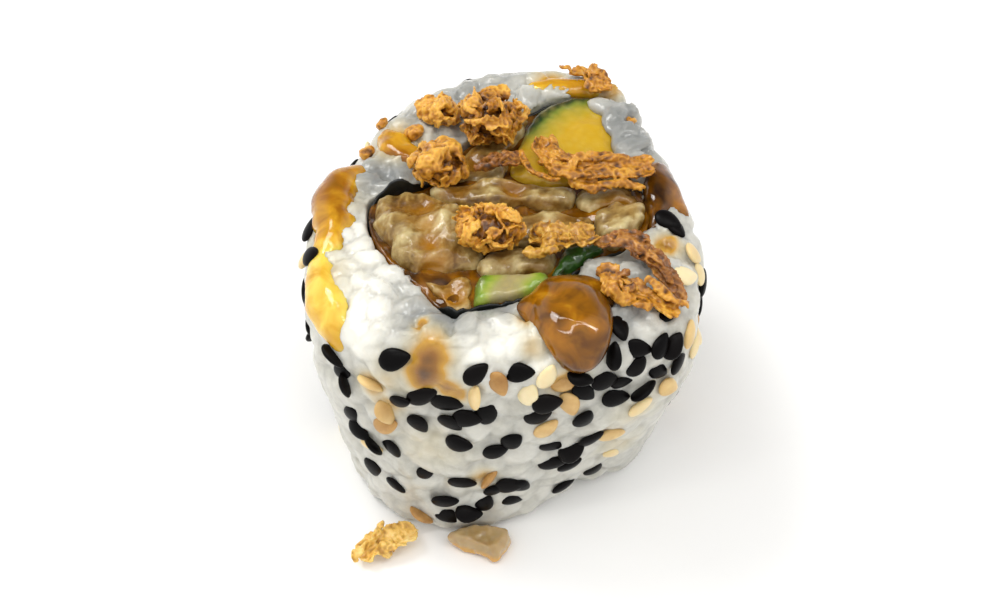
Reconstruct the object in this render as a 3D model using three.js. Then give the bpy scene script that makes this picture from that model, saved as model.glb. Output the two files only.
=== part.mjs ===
// One piece of an inside-out sushi roll, standing on a cut end: a ring of pressed rice,
// a tube of nori inside it, and chicken, cucumber and a leaf that run from cut to cut.
// On the upper cut lie pieces of fried onion and a thick drop of sauce.
// Millimetres, +Z up. The origin is on the underside, at the middle of the footprint.
import * as THREE from 'three';
import { mergeVertices } from 'three/addons/utils/BufferGeometryUtils.js';

// Driving dimensions
const rollHeight = 32.5; // from cut to cut
const rollAxis = { x: 0.4, y: -3 }; // radii of the rice and the nori are measured from here
const rimRadius = 4; // rounding of the upper outer edge
const rimShare = 0.75; // the most of the ring's width that the rounding takes
const baseRise = 20; // height over which the side draws in to the base
const baseTuck = 2.4; // how far it draws in all round
const taper = 1.1; // how straight it draws in: 1 is a plain cone
const footRounding = 0.8; // rounding of the lower edge
const leastBase = 1; // the ring's least width at the underside
const lumpHeight = 0.45; // unevenness of the pressed rice
const faceLump = 0.2; // unevenness of the cut
const pieceGap = 0.3; // air between neighbouring pieces
const noriThickness = 0.4;
const groundGap = 0.15; // below the pieces that lie at the foot

// Fineness of the solids
const ringSteps = 84;
const pieceSteps = 22;
const flakeSteps = 12;
const flakeSides = 8;

// Outlines seen from above, smoothed into closed curves
const riceOutline = [
  [-21.4, -8], [-20.8, 2.5], [-16.8, 10.8], [-13, 18.2], [-5, 24.4], [4.2, 26.4], [11.6, 24.6],
  [16.8, 17], [20.4, 7], [22.3, -5], [19.8, -15.4], [11.3, -20.3], [-1, -22.3], [-12.2, -20.5],
  [-18.8, -15.4],
];
const noriOutline = [
  [-14.7, 0], [-13.9, -4.4], [-11.6, -8.5], [-8.8, -11.3], [-6.5, -13.8], [-4.6, -15.5], [-2.4, -14.3],
  [0.6, -13.5], [3.8, -12.4], [5.8, -11], [8, -9], [10.8, -6.8], [13.8, -5.3], [16.4, -2.4], [16.4, 2],
  [15, 6.4], [14.2, 10], [14.6, 14], [13.2, 18], [10.8, 19.8], [7.2, 19], [3.6, 17], [-0.4, 14.6],
  [-4, 11.2], [-6.2, 8], [-8, 5], [-10.4, 3.4], [-12.9, 2.9], [-14.3, 1.8],
];

// The side draws in further at the front right, where the piece has slumped, a little further at
// the left, and less at the front. Angles are in radians.
const leans = [
  { angle: -0.78, reach: 0.6, tuck: 5 },
  { angle: -2, reach: 0.55, tuck: -1.2 },
  { angle: -2.65, reach: 0.45, tuck: 1.2 },
];

// Raised places of the upper cut, where thick filling swells out of it
const swells = [
  { x: -8.6, y: -3.6, reach: 5.5, height: 2 },
  { x: -0.5, y: 3, reach: 5, height: 1.1 },
  { x: 12.6, y: -1, reach: 3.4, height: 1.2 },
  { x: 6.6, y: 12, reach: 6.5, height: 0.7 },
];

const looks = {
  rice: new THREE.MeshStandardMaterial({ color: 0xe9e9e6, roughness: 0.35 }),
  nori: new THREE.MeshStandardMaterial({ color: 0x14171a, roughness: 0.5 }),
  chicken: new THREE.MeshStandardMaterial({ color: 0xb89a78, roughness: 0.4 }),
  cucumber: new THREE.MeshStandardMaterial({ color: 0xbfc66a, roughness: 0.3 }),
  leaf: new THREE.MeshStandardMaterial({ color: 0x2f5a1e, roughness: 0.4 }),
  sauce: new THREE.MeshStandardMaterial({ color: 0xb4741c, roughness: 0.08 }),
  onion: new THREE.MeshStandardMaterial({ color: 0xcf8630, roughness: 0.55 }),
  soaked: new THREE.MeshStandardMaterial({ color: 0xb79a6c, roughness: 0.2 }),
};

const roll = new THREE.Group();

function addPiece(name, look, geometry) {
  const mesh = new THREE.Mesh(geometry, looks[look]);
  mesh.name = name;
  roll.add(mesh);
}

// Points spaced along the smooth closed curve through an outline
function smoothLoop(outline, count) {
  const curve = new THREE.CatmullRomCurve3(outline.map(([x, y]) => new THREE.Vector3(x, y, 0)), true);
  return curve.getPoints(count).slice(0, count);
}

// The radius of an outline as a function of the angle round the roll's axis
function radiusOf(outline) {
  const samples = smoothLoop(outline, 480).map((point) => {
    const dx = point.x - rollAxis.x;
    const dy = point.y - rollAxis.y;
    return { angle: Math.atan2(dy, dx), radius: Math.hypot(dx, dy) };
  });
  samples.sort((a, b) => a.angle - b.angle);
  return (angle) => {
    const wrapped = Math.atan2(Math.sin(angle), Math.cos(angle));
    const found = samples.findIndex((sample) => sample.angle > wrapped);
    const after = found === -1 ? samples.length : found;
    const next = samples[after % samples.length];
    const last = samples.at(after - 1);
    const turn = 2 * Math.PI;
    const span = (next.angle - last.angle + turn) % turn;
    const part = ((wrapped - last.angle + turn) % turn) / (span || 1);
    return last.radius + (next.radius - last.radius) * part;
  };
}

const riceRadius = radiusOf(riceOutline);
const noriRadius = radiusOf(noriOutline);

// The nori's radius after its outline is moved outward by a distance square to itself
function noriOffset(angle, distance) {
  const radius = noriRadius(angle);
  const step = 0.02;
  const slope = (noriRadius(angle + step) - noriRadius(angle - step)) / (2 * step);
  return radius + distance * Math.hypot(1, slope / radius);
}

const holeRadius = (angle) => noriOffset(angle, noriThickness / 2 + pieceGap);
const rimAt = (angle) => Math.min(rimRadius, rimShare * (riceRadius(angle) - holeRadius(angle)));

function rollPoint(angle, radius, z) {
  const x = rollAxis.x + radius * Math.cos(angle);
  const y = rollAxis.y + radius * Math.sin(angle);
  return new THREE.Vector3(x, y, z);
}

// Smooth unevenness between -1 and 1
function lump(x, y, z) {
  const fine = Math.sin(0.9 * x + 0.5 * z + 1) * Math.sin(0.8 * y - 0.6 * z);
  const broad = Math.sin(0.45 * x - 0.5 * y + 0.7 * z + 2);
  return 0.6 * fine + 0.4 * broad;
}

// Height of the upper cut, without the rounding of its rim
function cutHeight(x, y) {
  let height = rollHeight + faceLump * lump(x, y, 0);
  for (const swell of swells) {
    const distance = Math.hypot(x - swell.x, y - swell.y) / swell.reach;
    height += swell.height * Math.exp(-distance * distance);
  }
  return height;
}

// A point of the rice's outside, by the distance along its profile from where the rim starts to
// round: below 0 on the cut, then round the rim, then down the side. It stands `lift` proud.
function ricePoint(angle, along, lift) {
  const rim = rimAt(angle);
  const bend = THREE.MathUtils.clamp(along / rim, 0, Math.PI / 2);
  const down = Math.max(0, along - rim * Math.PI / 2);
  const radius = riceRadius(angle) - rim + Math.min(0, along) + rim * Math.sin(bend);
  const onCut = rollPoint(angle, radius, 0);
  const z = cutHeight(onCut.x, onCut.y) - rim * (1 - Math.cos(bend)) - down;
  const outward = Math.sin(bend);
  const swell = lumpHeight * lump(onCut.x, onCut.y, z) * outward;
  return rollPoint(angle, radius + swell + lift * outward, z + lift * Math.cos(bend));
}

// Height of the upper surface that a topping rests on, with the rounded rim
function surfaceHeight(x, y) {
  const dx = x - rollAxis.x;
  const dy = y - rollAxis.y;
  const angle = Math.atan2(dy, dx);
  const rim = rimAt(angle);
  const past = THREE.MathUtils.clamp(rim - riceRadius(angle) + Math.hypot(dx, dy), 0, rim);
  return cutHeight(x, y) - rim + Math.sqrt(rim * rim - past * past);
}

const groundHeight = () => groundGap - pieceGap;

function middleOf(loop) {
  return loop.reduce((sum, point) => sum.addScaledVector(point, 1 / loop.length), new THREE.Vector3());
}

// A closed solid through a stack of loops of points, capped at both ends or joined end to end
function solidThrough(loops, joined = false) {
  const count = loops[0].length;
  const points = loops.flat();
  const faces = [];
  const bands = joined ? loops.length : loops.length - 1;
  for (let row = 0; row < bands; row += 1) {
    const above = (row + 1) % loops.length;
    for (let i = 0; i < count; i += 1) {
      const j = (i + 1) % count;
      faces.push([row * count + i, row * count + j, above * count + j]);
      faces.push([row * count + i, above * count + j, above * count + i]);
    }
  }
  if (!joined) {
    for (const row of [0, loops.length - 1]) {
      points.push(middleOf(loops[row]));
      for (let i = 0; i < count; i += 1) {
        const j = (i + 1) % count;
        const rim = row === 0 ? [row * count + j, row * count + i] : [row * count + i, row * count + j];
        faces.push([points.length - 1, ...rim]);
      }
    }
  }
  return outwardGeometry(points, faces);
}

// A geometry whose faces all point out, whichever way round they were given
function outwardGeometry(points, faces) {
  let volume = 0;
  for (const [a, b, c] of faces) {
    volume += points[a].dot(new THREE.Vector3().crossVectors(points[b], points[c]));
  }
  const ordered = volume > 0 ? faces : faces.map(([a, b, c]) => [a, c, b]);
  const geometry = new THREE.BufferGeometry();
  const places = points.flatMap((point) => [point.x, point.y, point.z]);
  geometry.setAttribute('position', new THREE.Float32BufferAttribute(places, 3));
  geometry.setIndex(ordered.flat());
  geometry.computeVertexNormals();
  return geometry;
}

// Loops round the roll's axis, one for each point of a profile that depends on the angle
function ringLoops(profile) {
  const columns = [];
  for (let i = 0; i < ringSteps; i += 1) {
    columns.push(profile(2 * Math.PI * i / ringSteps));
  }
  return columns[0].map((_, row) => columns.map((column) => column[row]));
}

// How far the rice draws in at the underside
function tuckAt(angle) {
  const turn = 2 * Math.PI;
  return leans.reduce((sum, lean) => {
    const away = angle - lean.angle - turn * Math.round((angle - lean.angle) / turn);
    return sum + lean.tuck * Math.exp(-((away / lean.reach) ** 2));
  }, baseTuck);
}

// Rice: the flat underside, the side that curves in to it, the rounded rim, the cut and the hole
function riceProfile(angle) {
  const edge = riceRadius(angle);
  const hole = holeRadius(angle);
  const rim = rimAt(angle);
  const tuck = Math.min(tuckAt(angle), edge - hole - footRounding - leastBase);
  const points = [rollPoint(angle, hole, 0), rollPoint(angle, edge - tuck - footRounding, 0)];
  for (const share of [0.05, 0.25, 0.5, 0.75, 1]) {
    const z = baseRise * share;
    const base = rollPoint(angle, edge, z);
    const swell = lumpHeight * share * lump(base.x, base.y, z);
    points.push(rollPoint(angle, edge - tuck * (1 - share) ** taper + swell, z));
  }
  const sideLength = rollHeight - rim - baseRise;
  for (const share of [0.66, 0.33, 0]) {
    points.push(ricePoint(angle, rim * Math.PI / 2 + share * sideLength, 0));
  }
  for (const share of [0.75, 0.5, 0.25, 0]) {
    points.push(ricePoint(angle, share * rim * Math.PI / 2, 0));
  }
  const faceWidth = edge - rim - hole;
  points.push(ricePoint(angle, -0.6 * faceWidth, 0));
  const lip = ricePoint(angle, -faceWidth, 0);
  points.push(lip.clone().setZ(lip.z - 0.3));
  points.push(rollPoint(angle, hole, rollHeight / 2));
  return points;
}

addPiece('rice', 'rice', solidThrough(ringLoops(riceProfile), true));

function noriProfile(angle) {
  const outer = noriOffset(angle, noriThickness / 2);
  const inner = noriOffset(angle, -noriThickness / 2);
  const top = rollPoint(angle, inner, 0);
  const height = cutHeight(top.x, top.y) - 0.2;
  return [
    rollPoint(angle, outer, pieceGap), rollPoint(angle, outer, height),
    rollPoint(angle, inner, height), rollPoint(angle, inner, pieceGap),
  ];
}

addPiece('nori', 'nori', solidThrough(ringLoops(noriProfile), true));

// The fillings, seen from above
const fillings = {
  chicken_left: ['chicken', [
    [-13.4, -3.5], [-13.8, -1.2], [-12.5, 0.9], [-10.2, 1.5], [-7.4, 1.2], [-4.8, -0.9], [-3, -4],
    [-2.6, -6.6], [-4, -8.4], [-6.4, -9.1], [-9.6, -9], [-12, -6.8],
  ]],
  chicken_front: ['chicken', [
    [-8.2, -10.7], [-6.3, -10.2], [-4.4, -9.7], [-3.3, -11.3], [-3.4, -13.5], [-4.6, -14.6], [-6.4, -13],
  ]],
  chicken_centre: ['chicken', [
    [-1.9, -8.4], [-0.9, -7], [1.5, -6.2], [4.4, -6.4], [5.4, -7.3], [5, -8.6], [3.2, -8.9], [1, -8.9],
    [-0.9, -9.2],
  ]],
  chicken_middle: ['chicken', [
    [-1.6, -3], [-0.6, -1], [2.7, -0.5], [5.2, -0.1], [7.8, -0.6], [10, -1.8], [9.7, -3.9], [6, -4.3],
    [2.4, -4.5], [-0.4, -4.4],
  ]],
  chicken_strip: ['chicken', [
    [-6.6, 2.7], [-4.6, 3.5], [-2.1, 3.6], [1.1, 3.7], [5.2, 3.5], [7.8, 2.7], [7.6, 0.9], [3.5, 0.8],
    [-0.5, 0.8], [-3.4, 0.6], [-5.4, 1.3],
  ]],
  chicken_right: ['chicken', [
    [11, -3.9], [11.3, -1.9], [13.1, -0.3], [14.9, -0.1], [15.4, -1.5], [14.5, -3.6], [12.6, -4.4],
  ]],
  chicken_side: ['chicken', [
    [9.2, 1], [12, 1.4], [14.8, 2], [14.9, 4.4], [13.8, 6.2], [11.8, 5.3], [9.6, 4], [8.9, 2.4],
  ]],
  chicken_back: ['chicken', [
    [-6.2, 5.4], [-4.8, 8.2], [-2.2, 11.2], [0.6, 13.6], [2.6, 14.9], [2.4, 13], [1.2, 10.4], [0.5, 7.6],
    [0.1, 5.3], [-2.6, 4.7],
  ]],
  cucumber_large: ['cucumber', [
    [1.3, 5.8], [1.8, 8.6], [2.5, 11.2], [3.9, 13.8], [6.1, 16.4], [8.5, 18.1], [10.7, 18.6], [12.3, 17],
    [13.4, 13.8], [13.2, 10.2], [12, 7.2], [7.8, 4.9], [3.6, 4.7],
  ]],
  cucumber_small: ['cucumber', [
    [-2.4, -13.4], [-2.3, -12], [-1.2, -10.5], [0.3, -9.8], [3.4, -9.7], [4.8, -10.1], [5, -10.9],
    [3.4, -11.9], [1, -12.7], [-0.8, -13.1],
  ]],
  leaf: ['leaf', [
    [6.3, -9.7], [7.3, -8.3], [8.9, -7.1], [10.8, -5.9], [10.6, -5.4], [8.6, -6.1], [6.9, -7.4], [6, -8.9],
  ]],
};

// Distance from a point to a closed loop, less than 0 inside it
function distanceToLoop(point, loop) {
  let nearest = Infinity;
  let inside = false;
  loop.forEach((start, i) => {
    const end = loop[(i + 1) % loop.length];
    const onSide = new THREE.Line3(start, end).closestPointToPoint(point, true, new THREE.Vector3());
    nearest = Math.min(nearest, onSide.distanceTo(point));
    const crosses = (start.y > point.y) !== (end.y > point.y);
    if (crosses && point.x < start.x + (end.x - start.x) * (point.y - start.y) / (end.y - start.y)) {
      inside = !inside;
    }
  });
  return inside ? -nearest : nearest;
}

// The fillings are pressed together: each outline swells until it nearly meets another or the nori
const swellStep = 0.1;
const mostSwell = 1.3;

function pressed(loop, others) {
  const middle = middleOf(loop);
  return loop.map((point) => {
    const outward = point.clone().sub(middle).normalize();
    const grown = point.clone();
    for (let swell = swellStep; swell <= mostSwell; swell += swellStep) {
      const next = point.clone().addScaledVector(outward, swell);
      const dx = next.x - rollAxis.x;
      const dy = next.y - rollAxis.y;
      const wall = noriOffset(Math.atan2(dy, dx), -noriThickness / 2 - pieceGap);
      const meets = others.some((other) => distanceToLoop(next, other) < swell + pieceGap);
      if (meets || Math.hypot(dx, dy) > wall) {
        break;
      }
      grown.copy(next);
    }
    return grown;
  });
}

// A filling runs through the roll. Its upper edge is rounded: share of the half width, depth.
const edgeRounding = [[1, 1.5], [0.96, 0.75], [0.87, 0.28], [0.62, 0]];
const fullRoundingWidth = 4;

function filling(loop) {
  const middle = middleOf(loop);
  const halfWidth = loop.reduce((sum, point) => sum + point.distanceTo(middle), 0) / loop.length;
  const rounding = Math.min(1, halfWidth / fullRoundingWidth);
  const loops = [loop.map((point) => point.clone().setZ(pieceGap))];
  for (const [share, depth] of edgeRounding) {
    loops.push(loop.map((point) => {
      const inward = middle.clone().lerp(point, share);
      return inward.setZ(cutHeight(inward.x, inward.y) - depth * rounding);
    }));
  }
  return solidThrough(loops);
}

const fillingLoops = Object.values(fillings).map(([, outline]) => smoothLoop(outline, pieceSteps));

Object.entries(fillings).forEach(([name, [look]], i) => {
  const others = fillingLoops.filter((_, j) => j !== i);
  addPiece(name, look, filling(pressed(fillingLoops[i], others)));
});

// A drop of sauce hangs over the rim, thickest and narrowest near its lower end. Its outline is laid
// out flat: x and y on the cut, and past the rim y goes on down the side.
const drop = {
  x: 7.6, y: -16.4, slant: 0.6, halfLength: 6.4, halfWidth: 4.5, narrowing: 0.15, thick: 3, thin: 2,
};

function sauceDrop() {
  const shares = [0.3, 0.6, 0.85, 1];
  const sheet = (share, thickness) => Array.from({ length: pieceSteps }, (_, i) => {
    const turn = 2 * Math.PI * i / pieceSteps;
    const lengthwise = share * Math.sin(turn);
    const across = share * Math.cos(turn) * drop.halfWidth * (1 - drop.narrowing * lengthwise);
    const dx = drop.x + drop.slant * lengthwise + across - rollAxis.x;
    const dy = drop.y - drop.halfLength * lengthwise - rollAxis.y;
    const angle = Math.atan2(dy, dx);
    const along = Math.hypot(dx, dy) - riceRadius(angle) + rimAt(angle);
    const depth = THREE.MathUtils.lerp(drop.thin, drop.thick, (1 + lengthwise) / 2);
    const bulge = depth * Math.sqrt(1 - share * share) * thickness;
    return ricePoint(angle, along, pieceGap + bulge);
  });
  const under = shares.map((share) => sheet(share, 0));
  const over = shares.slice(0, -1).reverse().map((share) => sheet(share, 1));
  return solidThrough([...under, ...over]);
}

addPiece('sauce_drop', 'sauce', sauceDrop());

// A crumbly cluster of fried onion: a rough ball that sits on the cut
function crumbBall({ x, y, lift, size, seed }) {
  const geometry = new THREE.IcosahedronGeometry(1, 3);
  geometry.deleteAttribute('normal');
  geometry.deleteAttribute('uv');
  const ball = mergeVertices(geometry);
  const place = ball.getAttribute('position');
  const point = new THREE.Vector3();
  const centreHeight = surfaceHeight(x, y) + lift;
  for (let i = 0; i < place.count; i += 1) {
    point.fromBufferAttribute(place, i);
    const rough = 1 + 0.28 * lump(6 * point.x + seed, 6 * point.y, 6 * point.z);
    const px = x + size[0] * point.x * rough;
    const py = y + size[1] * point.y * rough;
    const pz = centreHeight + size[2] * point.z * rough;
    place.setXYZ(i, px, py, Math.max(pz, surfaceHeight(px, py) + pieceGap));
  }
  ball.computeVertexNormals();
  return ball;
}

// A shred of fried onion: a flat curled strip along a path of [x, y, height above what it lies on].
// It turns from one twist to the other along the way, in degrees.
function shred({ path, width, thickness, twist: [first, last], curl = 0.15, ground = surfaceHeight }) {
  const stops = path.map(([x, y, lift]) => new THREE.Vector3(x, y, ground(x, y) + lift));
  const spine = new THREE.CatmullRomCurve3(stops);
  const up = new THREE.Vector3(0, 0, 1);
  const loops = [];
  for (let station = 0; station <= flakeSteps; station += 1) {
    const share = station / flakeSteps;
    const middle = spine.getPoint(share);
    const side = new THREE.Vector3().crossVectors(spine.getTangent(share), up).normalize();
    const rise = new THREE.Vector3().crossVectors(side, spine.getTangent(share)).normalize();
    const turn = THREE.MathUtils.degToRad(THREE.MathUtils.lerp(first, last, share));
    const narrow = 0.3 + 0.7 * Math.sin(Math.PI * share) ** 0.6;
    const half = 0.5 * width * narrow * (1 + 0.12 * Math.sin(11 * share));
    loops.push(Array.from({ length: flakeSides }, (_, i) => {
      const round = 2 * Math.PI * i / flakeSides;
      const across = half * Math.cos(round);
      const height = 0.5 * thickness * Math.sin(round) + curl * half * Math.cos(round) ** 2;
      const point = middle.clone();
      point.addScaledVector(side, across * Math.cos(turn) - height * Math.sin(turn));
      point.addScaledVector(rise, across * Math.sin(turn) + height * Math.cos(turn));
      return point.setZ(Math.max(point.z, ground(point.x, point.y) + pieceGap));
    }));
  }
  return solidThrough(loops);
}

const crumbBalls = {
  onion_ball_back: { x: -1.2, y: 12.4, lift: 2.6, size: [3.7, 3.4, 3.2], seed: 1 },
  onion_crumbs_back: { x: -6.9, y: 15, lift: 1.1, size: [2.2, 1.6, 1.4], seed: 5 },
  onion_cluster_left: { x: -6.9, y: 5, lift: 1.9, size: [3.2, 2.7, 2.5], seed: 9 },
  onion_ball_front: { x: -1.3, y: -5.4, lift: 2, size: [3.8, 2.8, 2.4], seed: 3 },
};

const shreds = {
  onion_chip_dark: {
    path: [[-2.3, 5.2, 1.2], [0.4, 5.7, 1.5], [3, 6.7, 1.2]],
    width: 2.4, thickness: 1.2, twist: [10, 30],
  },
  onion_shred_long: {
    path: [[4.3, 9.8, 1.4], [6, 5.2, 2], [9, 3.4, 2.2], [13.4, 4, 1.8], [17.6, 4.6, 1.3]],
    width: 3.4, thickness: 1.5, twist: [10, 35], curl: 0.2,
  },
  onion_chip_front: {
    path: [[3.4, -5.2, 1.3], [6.6, -6, 1.6], [10.3, -5.5, 1.4]],
    width: 3.8, thickness: 0.9, twist: [10, 30],
  },
  onion_shred_dark: {
    path: [[10.4, -7.2, 1.2], [13.5, -6.8, 1.6], [16.4, -8.2, 1.5], [18.4, -11, 1.5], [19.6, -13.4, 1.5]],
    width: 2.2, thickness: 1.1, twist: [20, -20],
  },
  onion_curl_right: {
    path: [[10.9, -10.4, 1.3], [12.7, -12.5, 1.5], [15.9, -14, 1.6], [18.8, -15.2, 1.5]],
    width: 2.5, thickness: 1.2, twist: [-15, -30], curl: 0.25,
  },
  onion_shred_back: {
    path: [[8.6, 23.4, 1.4], [10.8, 21.4, 1.3], [13.2, 18.8, 1.2]],
    width: 2.3, thickness: 0.9, twist: [20, 0],
  },
  onion_chip_foot: {
    path: [[-15.9, -25.2, 0.95], [-13.2, -23.2, 1.3], [-10, -21.9, 1.1]],
    width: 4, thickness: 1, twist: [10, 20], ground: groundHeight,
  },
};

for (const [name, shape] of Object.entries(crumbBalls)) {
  addPiece(name, 'onion', crumbBall(shape));
}
for (const [name, shape] of Object.entries(shreds)) {
  addPiece(name, 'onion', shred(shape));
}

// A soft piece of onion soaked in sauce lies flat against the foot
const soakedOnion = {
  outline: [
    [-6.2, -22.3], [-4, -23.6], [-2.2, -24.3], [-0.4, -25.2], [1.1, -23.4], [1, -21.4], [-2.2, -20.9],
    [-5.2, -21.2],
  ],
  height: 2.3,
};

function soakedPiece({ outline, height }) {
  const loop = smoothLoop(outline, pieceSteps);
  const middle = middleOf(loop);
  const shape = [[0.9, 0], [1, 0.3], [0.95, 0.7], [0.7, 1]];
  return solidThrough(shape.map(([share, rise]) => loop.map((point) => {
    return middle.clone().lerp(point, share).setZ(groundGap + rise * height);
  })));
}

addPiece('onion_soaked_foot', 'soaked', soakedPiece(soakedOnion));

// The roll is moved so that the middle of its footprint is over the origin
const footprint = new THREE.Box3().setFromObject(roll).getCenter(new THREE.Vector3());
roll.position.set(-footprint.x, -footprint.y, 0);
roll.updateMatrixWorld(true);

export default roll;
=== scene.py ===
# Chicken teriyaki uramaki: one inside-out roll piece with sesame, sauce and fried onions.
import math
import random

import bmesh
import bpy
import numpy as np
from mathutils import Matrix, Vector, noise
from mathutils.bvhtree import BVHTree
from mathutils.kdtree import KDTree


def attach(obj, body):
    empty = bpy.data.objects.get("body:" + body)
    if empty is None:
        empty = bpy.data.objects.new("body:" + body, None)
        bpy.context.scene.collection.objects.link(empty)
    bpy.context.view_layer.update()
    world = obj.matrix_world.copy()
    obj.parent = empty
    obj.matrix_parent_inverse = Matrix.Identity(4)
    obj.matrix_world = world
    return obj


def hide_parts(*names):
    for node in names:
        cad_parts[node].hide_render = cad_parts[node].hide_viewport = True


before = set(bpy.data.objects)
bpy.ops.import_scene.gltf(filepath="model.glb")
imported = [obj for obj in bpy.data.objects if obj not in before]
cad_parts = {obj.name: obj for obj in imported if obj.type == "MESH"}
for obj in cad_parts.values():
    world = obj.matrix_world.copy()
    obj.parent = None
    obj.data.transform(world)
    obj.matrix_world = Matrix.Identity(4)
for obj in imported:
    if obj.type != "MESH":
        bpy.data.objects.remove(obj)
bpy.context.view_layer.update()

# Everything is modelled in millimetres round the middle of the roll and turned to metres when placed.
metre = 0.001
rollMiddle = Vector((-0.2787, -0.3534, 0))  # where the roll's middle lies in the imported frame, mm
rollAxis = Vector((0.4, -3, 0))  # the nori is seen in every direction from here
up = Vector((0, 0, 1))
overhead = up * 60  # mm, from where a place on top of the roll is looked for
floorGap = 0.02  # mm that everything keeps above the floor
noise.seed_set(7)  # else its vectors start from the clock


def linear(colour):  # sRGB hex to the linear colour that a shader takes
    parts = [int(colour[i:i + 2], 16) / 255 for i in (1, 3, 5)]
    return (*[c / 12.92 if c <= 0.04045 else ((c + 0.055) / 1.055) ** 2.4 for c in parts], 1)


def addNode(tree, kind, inputs=None, stops=None, **settings):  # a shader node with its settings and links
    node = tree.nodes.new("ShaderNode" + kind)
    for name, value in settings.items():
        setattr(node, name, value)
    for socket, value in (inputs or {}).items():
        if isinstance(value, bpy.types.NodeSocket):
            tree.links.new(value, node.inputs[socket])
        else:
            node.inputs[socket].default_value = linear(value) if isinstance(value, str) else value
    for index, (spot, colour) in enumerate(stops or ()):  # of a colour ramp: its two ends, then the rest
        band = node.color_ramp.elements
        stop = band[index] if index < 2 else band.new(spot)
        stop.position, stop.color = spot, linear(colour)
    return node


def newFinish(name, **values):  # a material, its tree, its shader and the piece's own coordinates
    finish = bpy.data.materials.new(name)
    finish.use_nodes = True
    tree = finish.node_tree
    shader = tree.nodes["Principled BSDF"]
    for socket, value in values.items():
        shader.inputs[socket.replace("_", " ")].default_value = value
    place = addNode(tree, "TexCoord").outputs["Object"]
    return finish, tree, shader, place


def wire(tree, shader, colour=None, roughness=None, height=None, bump=0.1, strength=0.5):
    if colour:
        tree.links.new(colour, shader.inputs["Base Color"])
    if roughness:
        tree.links.new(roughness, shader.inputs["Roughness"])
    if height:  # bump is the depth of the relief in mm
        relief = addNode(tree, "Bump", {"Strength": strength, "Distance": bump * metre, "Height": height})
        tree.links.new(relief.outputs[0], shader.inputs["Normal"])


def perMetre(size):  # a texture's scale for a pattern of that size in mm
    return 1 / (size * metre)


def blur(points, size, seed, octaves=2):  # smooth noise of lumps about `size` mm wide, near -1 to 1
    shift = Vector((seed * 7.31, seed * 3.77, seed * 5.93))
    return np.array([noise.fractal(Vector(p) / size + shift, 1, 2, octaves) for p in points])


def crumple(points, size, seed):  # how a crumpled body's points are pushed about, each way near -1 to 1
    shift = Vector((seed * 2.17, seed * 9.1, seed * 4.3))
    return np.array([noise.noise_vector(Vector(p) / size + shift) for p in points])


def smoothStep(low, high, values):
    t = np.clip((values - low) / (high - low), 0, 1)
    return t * t * (3 - 2 * t)


def triplesOf(items, key):  # x, y and z of each item of a mesh
    flat = np.empty(len(items) * 3)
    items.foreach_get(key, flat)
    return flat.reshape(-1, 3)


def pointsOf(mesh):
    return triplesOf(mesh.vertices, "co")


def normalsOf(mesh):
    return triplesOf(mesh.vertex_normals, "vector")


def movePoints(mesh, points):
    mesh.vertices.foreach_set("co", np.asarray(points, dtype=float).ravel())
    mesh.update()


def treeOf(mesh):
    return BVHTree.FromPolygons([v.co for v in mesh.vertices], [p.vertices for p in mesh.polygons])


def cadMesh(node):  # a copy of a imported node's mesh, in mm round the roll's middle
    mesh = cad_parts[node].data.copy()
    mesh.transform(Matrix.Translation(-rollMiddle) @ Matrix.Scale(1 / metre, 4))
    return mesh


def bodyOf(mesh):
    return pointsOf(mesh), [tuple(face.vertices) for face in mesh.polygons]


def meshOf(bodies):  # one mesh of several bodies, each given by its points and faces
    points, faces, count = [], [], 0
    for bodyPoints, bodyFaces in bodies:
        points.extend(map(tuple, bodyPoints))
        faces.extend([tuple(v + count for v in face) for face in bodyFaces])
        count += len(bodyPoints)
    mesh = bpy.data.meshes.new("shape")
    mesh.from_pydata(points, [], faces)
    mesh.update()
    return mesh


def turnedOut(mesh):  # all faces point away from the body
    shape = bmesh.new()
    shape.from_mesh(mesh)
    bmesh.ops.recalc_face_normals(shape, faces=shape.faces)
    shape.to_mesh(mesh)
    shape.free()
    return mesh


def addObject(name, data):
    thing = bpy.data.objects.new(name, data)
    bpy.context.scene.collection.objects.link(thing)
    return thing


def worked(mesh, voxel, smoothing):  # melts bodies to one even skin, if a voxel is given, then smooths it
    holder = addObject("holder", mesh)
    if voxel:
        skin = holder.modifiers.new("skin", "REMESH")
        skin.mode, skin.voxel_size = "VOXEL", voxel
    holder.modifiers.new("soften", "SMOOTH").iterations = smoothing
    view = bpy.context.evaluated_depsgraph_get()
    result = bpy.data.meshes.new_from_object(holder.evaluated_get(view))
    bpy.data.objects.remove(holder)
    return result


def store(mesh, name, values):  # a number for each point, which the material reads
    layer = mesh.attributes.new(name, "FLOAT", "POINT")
    layer.data.foreach_set("value", np.clip(values, 0, 1).astype(np.float32))


def pieceName(node):  # onion_ball_back to onionBallBack
    first, *rest = node.split("_")
    return first + "".join(word.capitalize() for word in rest)


def settle(name, mesh, finish, nodes=()):  # turns a mesh in mm to a finished piece of the part
    points = pointsOf(mesh)
    points[:, 2] = np.maximum(points[:, 2], floorGap)
    movePoints(mesh, points)
    mesh.transform(Matrix.Scale(metre, 4) @ Matrix.Translation(rollMiddle))
    mesh.materials.clear()
    mesh.materials.append(finish)
    mesh.polygons.foreach_set("use_smooth", [True] * len(mesh.polygons))
    mesh.name = name
    piece = addObject(name, mesh)
    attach(piece, "root")
    if nodes:
        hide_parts(*nodes)


def nearness(points, spots):  # each spot (x, y, z, reach, strength) fades out round its middle
    best = np.zeros(len(points))
    for x, y, z, reach, much in spots:
        away = np.linalg.norm(points - np.array((x, y, z)), axis=1)
        best = np.maximum(best, much * np.exp(-((away / reach) ** 2)))
    return best


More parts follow.
